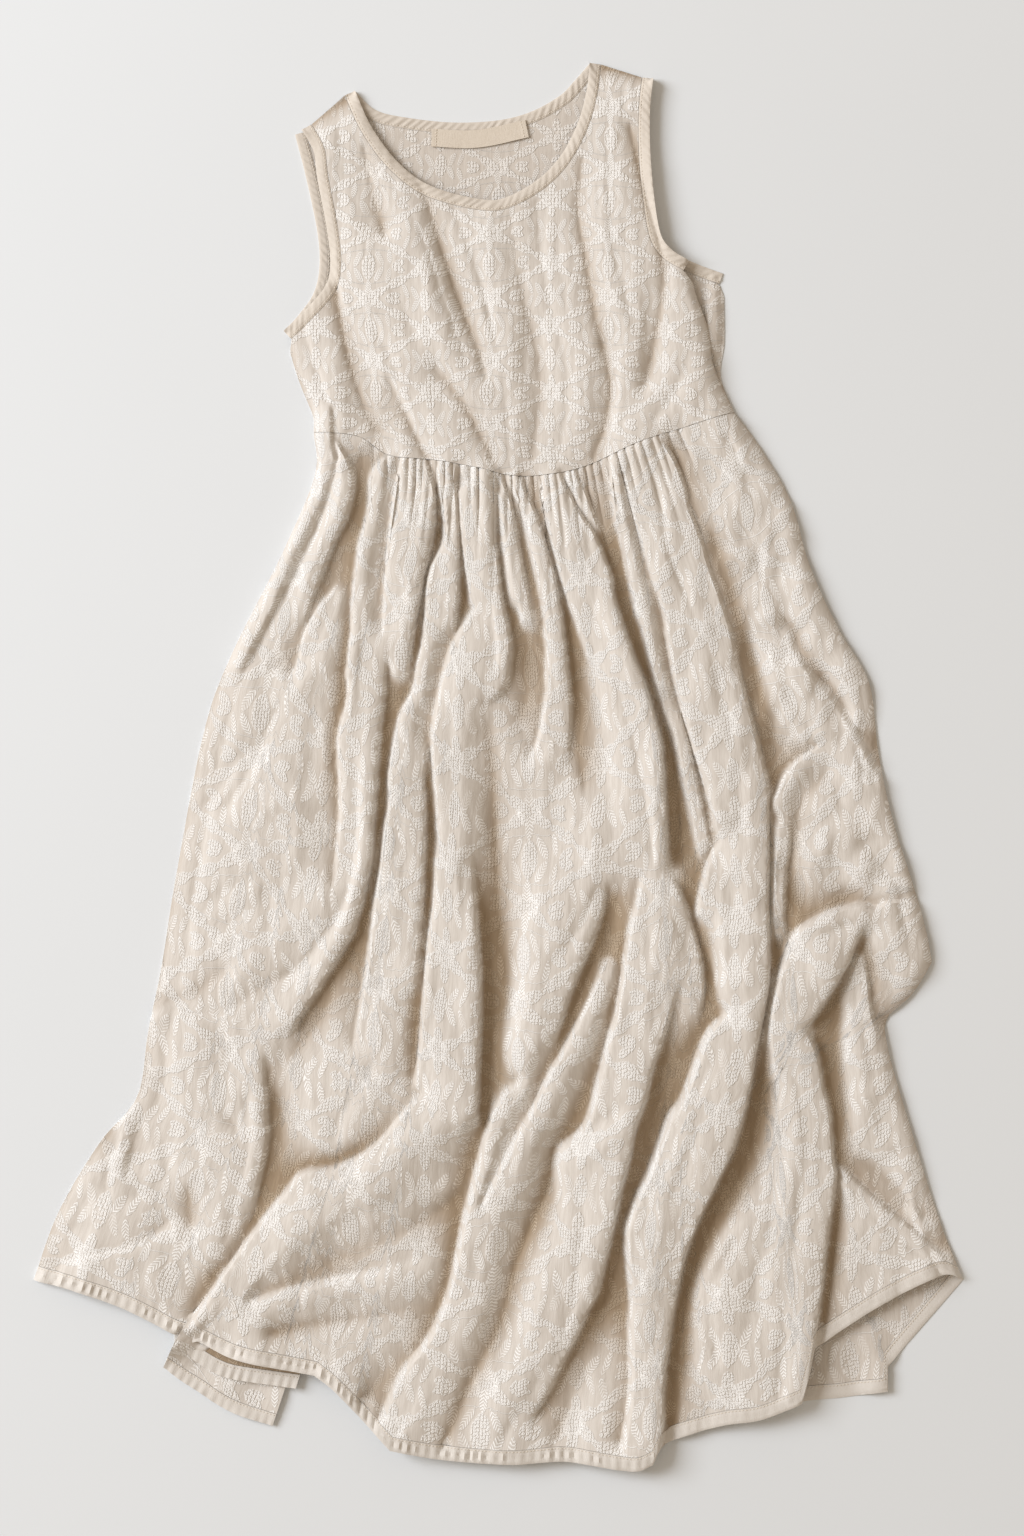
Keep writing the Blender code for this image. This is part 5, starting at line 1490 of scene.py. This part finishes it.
def stitches(name, line, pitch):
    """Short threads along a line of points on the cloth, joined in one piece."""
    count = max(int(length_of(line) / pitch), 1)
    ends = resample(line, 3 * count + 1)
    start, span = ends[:-1:3, None], (ends[2::3] - ends[:-1:3])[:, None]
    side = np.cross(span, UP)
    side /= np.linalg.norm(side, axis=-1)[..., None]
    up = np.cross(side, span)
    up /= np.linalg.norm(up, axis=-1)[..., None]
    angle = 2 * math.pi * np.arange(STITCH_SIDES)[:, None] / STITCH_SIDES
    around = STITCH_RADIUS * (np.cos(angle) * side + np.sin(angle) * up)
    rings = [start + ring.along * span + (STITCH_LIFT + ring.rise) * up + ring.size * around
             for ring in STITCH_RINGS]
    points = np.stack(rings, 1).reshape(-1, 3)
    faces = []
    for stitch in np.arange(len(points)).reshape(count, len(STITCH_RINGS), STITCH_SIDES):
        low, high = stitch[:-1], stitch[1:]
        walls = np.stack((low, np.roll(low, -1, 1), np.roll(high, -1, 1), high), -1)
        faces += walls.reshape(-1, 4).tolist() + [stitch[0, ::-1].tolist(), stitch[-1].tolist()]
    made = piece(name, points, faces, THREAD, points[:, :2], np.zeros(len(points)))


def row_at(face, share):
    """The line on a strip's face at a share of its width."""
    at = share * (len(face) - 1)
    low = min(int(at), len(face) - 2)
    return face[low] + (at - low) * (face[low + 1] - face[low])


# ---------------------------------------------------------------- the dress
skirt_front, hem_front, hem_front_face = skirt(FRONT, WAIST_FRONT, HEM_FRONT)
skirt_back, hem_back, hem_back_face = skirt(BACK, WAIST_BACK, HEM_BACK)
bodice_front = bodice(FRONT, NECK_FRONT, (ARMHOLE_LEFT_FRONT, ARMHOLE_RIGHT_FRONT),
                      (SIDE_LEFT, SIDE_RIGHT_FRONT), WAIST_FRONT)
bodice_back = bodice(BACK, NECK_BACK, (ARMHOLE_LEFT_BACK, ARMHOLE_RIGHT_BACK),
                     (SIDE_LEFT, SIDE_RIGHT_BACK), WAIST_BACK)

for seed, (side, name, outline, turn) in enumerate((
        (FRONT, "neck_binding_front", NECK_FRONT, 1),
        (BACK, "neck_binding_back", NECK_BACK, 1),
        (FRONT, "armhole_binding_left_front", ARMHOLE_LEFT_FRONT, -1),
        (BACK, "armhole_binding_left_back", ARMHOLE_LEFT_BACK, -1),
        (FRONT, "armhole_binding_right_front", ARMHOLE_RIGHT_FRONT, 1),
        (BACK, "armhole_binding_right_back", ARMHOLE_RIGHT_BACK, 1))):
    strip_face = binding(side, name, outline, turn, seed)
    stitches(name + "_stitches", row_at(strip_face, BINDING_STITCHES), BINDING_PITCH)
stitches("hem_front_stitches", row_at(hem_front_face, HEM_STITCHES), HEM_PITCH)
stitches("hem_back_stitches", row_at(hem_back_face, HEM_STITCHES), HEM_PITCH)
tape_face = label()
for name, column in (("label_stitches_left", 3), ("label_stitches_right", -4)):
    stitches(name, tape_face[:, column], LABEL_PITCH)
lobe, lobe_parts = pleat()


# ---------------------------------------------------------------- floor, light, camera
FLOOR_HALF = 3.0            # metres from its middle to its edges
FLOOR_TONES = colour(0.76, 0.79, 0.815), colour(0.78, 0.81, 0.835)
FLOOR_PATCHES = Noise(3.0, 3.0)
FLOOR_GRAIN = Noise(900.0)
FLOOR_RELIEF = 0.03         # millimetres
CAMERA_OVER = 0.0122, -0.0018
CAMERA_HEIGHT = 3.0
FRAME_HEIGHT = 1.3824       # metres of floor from the picture's lower edge to its upper one


def floor_stage():
    """A plain pale surface."""
    made, graph, shader = new_material("pale_surface", 0.9, 0.0)
    place = graph.node("ShaderNodeTexCoord").outputs["Object"]
    base = graph.mix(graph.noise(place, FLOOR_PATCHES), *FLOOR_TONES)
    finish_with(graph, shader, base, graph.product(graph.noise(place, FLOOR_GRAIN), FLOOR_RELIEF))
    mesh = bpy.data.meshes.new("surface")
    corners = [(x * FLOOR_HALF, y * FLOOR_HALF, 0) for x, y in ((-1, -1), (1, -1), (1, 1), (-1, 1))]
    mesh.from_pydata(corners, [], [(0, 1, 2, 3)])
    mesh.materials.append(made)
    surface = bpy.data.objects.new("surface", mesh)
    bpy.context.collection.objects.link(surface)


def area_light(name, place, target, size, power, tone):
    """A soft square light aimed at a point."""
    data = bpy.data.lights.new(name, "AREA")
    data.shape = "SQUARE"
    data.size = size
    data.energy = power
    data.color = tone
    lamp = bpy.data.objects.new(name, data)
    lamp.location = place
    lamp.rotation_euler = (Vector(target) - Vector(place)).to_track_quat("-Z", "Y").to_euler()
    bpy.context.collection.objects.link(lamp)


def dim_room(tone, strength):
    """Even light from all around."""
    made = bpy.data.worlds.new("soft_room")
    made.use_nodes = True
    background = made.node_tree.nodes["Background"]
    background.inputs["Color"].default_value = tone
    background.inputs["Strength"].default_value = strength
    bpy.context.scene.world = made


def camera():
    """Straight above the dress, which it frames as the photograph does."""
    data = bpy.data.cameras.new("camera")
    data.sensor_fit = "VERTICAL"
    data.sensor_height = 36
    data.lens = data.sensor_height * CAMERA_HEIGHT / FRAME_HEIGHT
    made = bpy.data.objects.new("camera", data)
    made.location = (*CAMERA_OVER, CAMERA_HEIGHT)
    bpy.context.collection.objects.link(made)
    bpy.context.scene.camera = made


floor_stage()
area_light("window", (-5.0, 1.8, 3.8), (0, 0, 0), 3.4, 422, (0.955, 0.99, 1.045))
dim_room(colour(1.0, 0.85, 0.685), 0.475)
bpy.context.scene.view_settings.view_transform = "Standard"
camera()
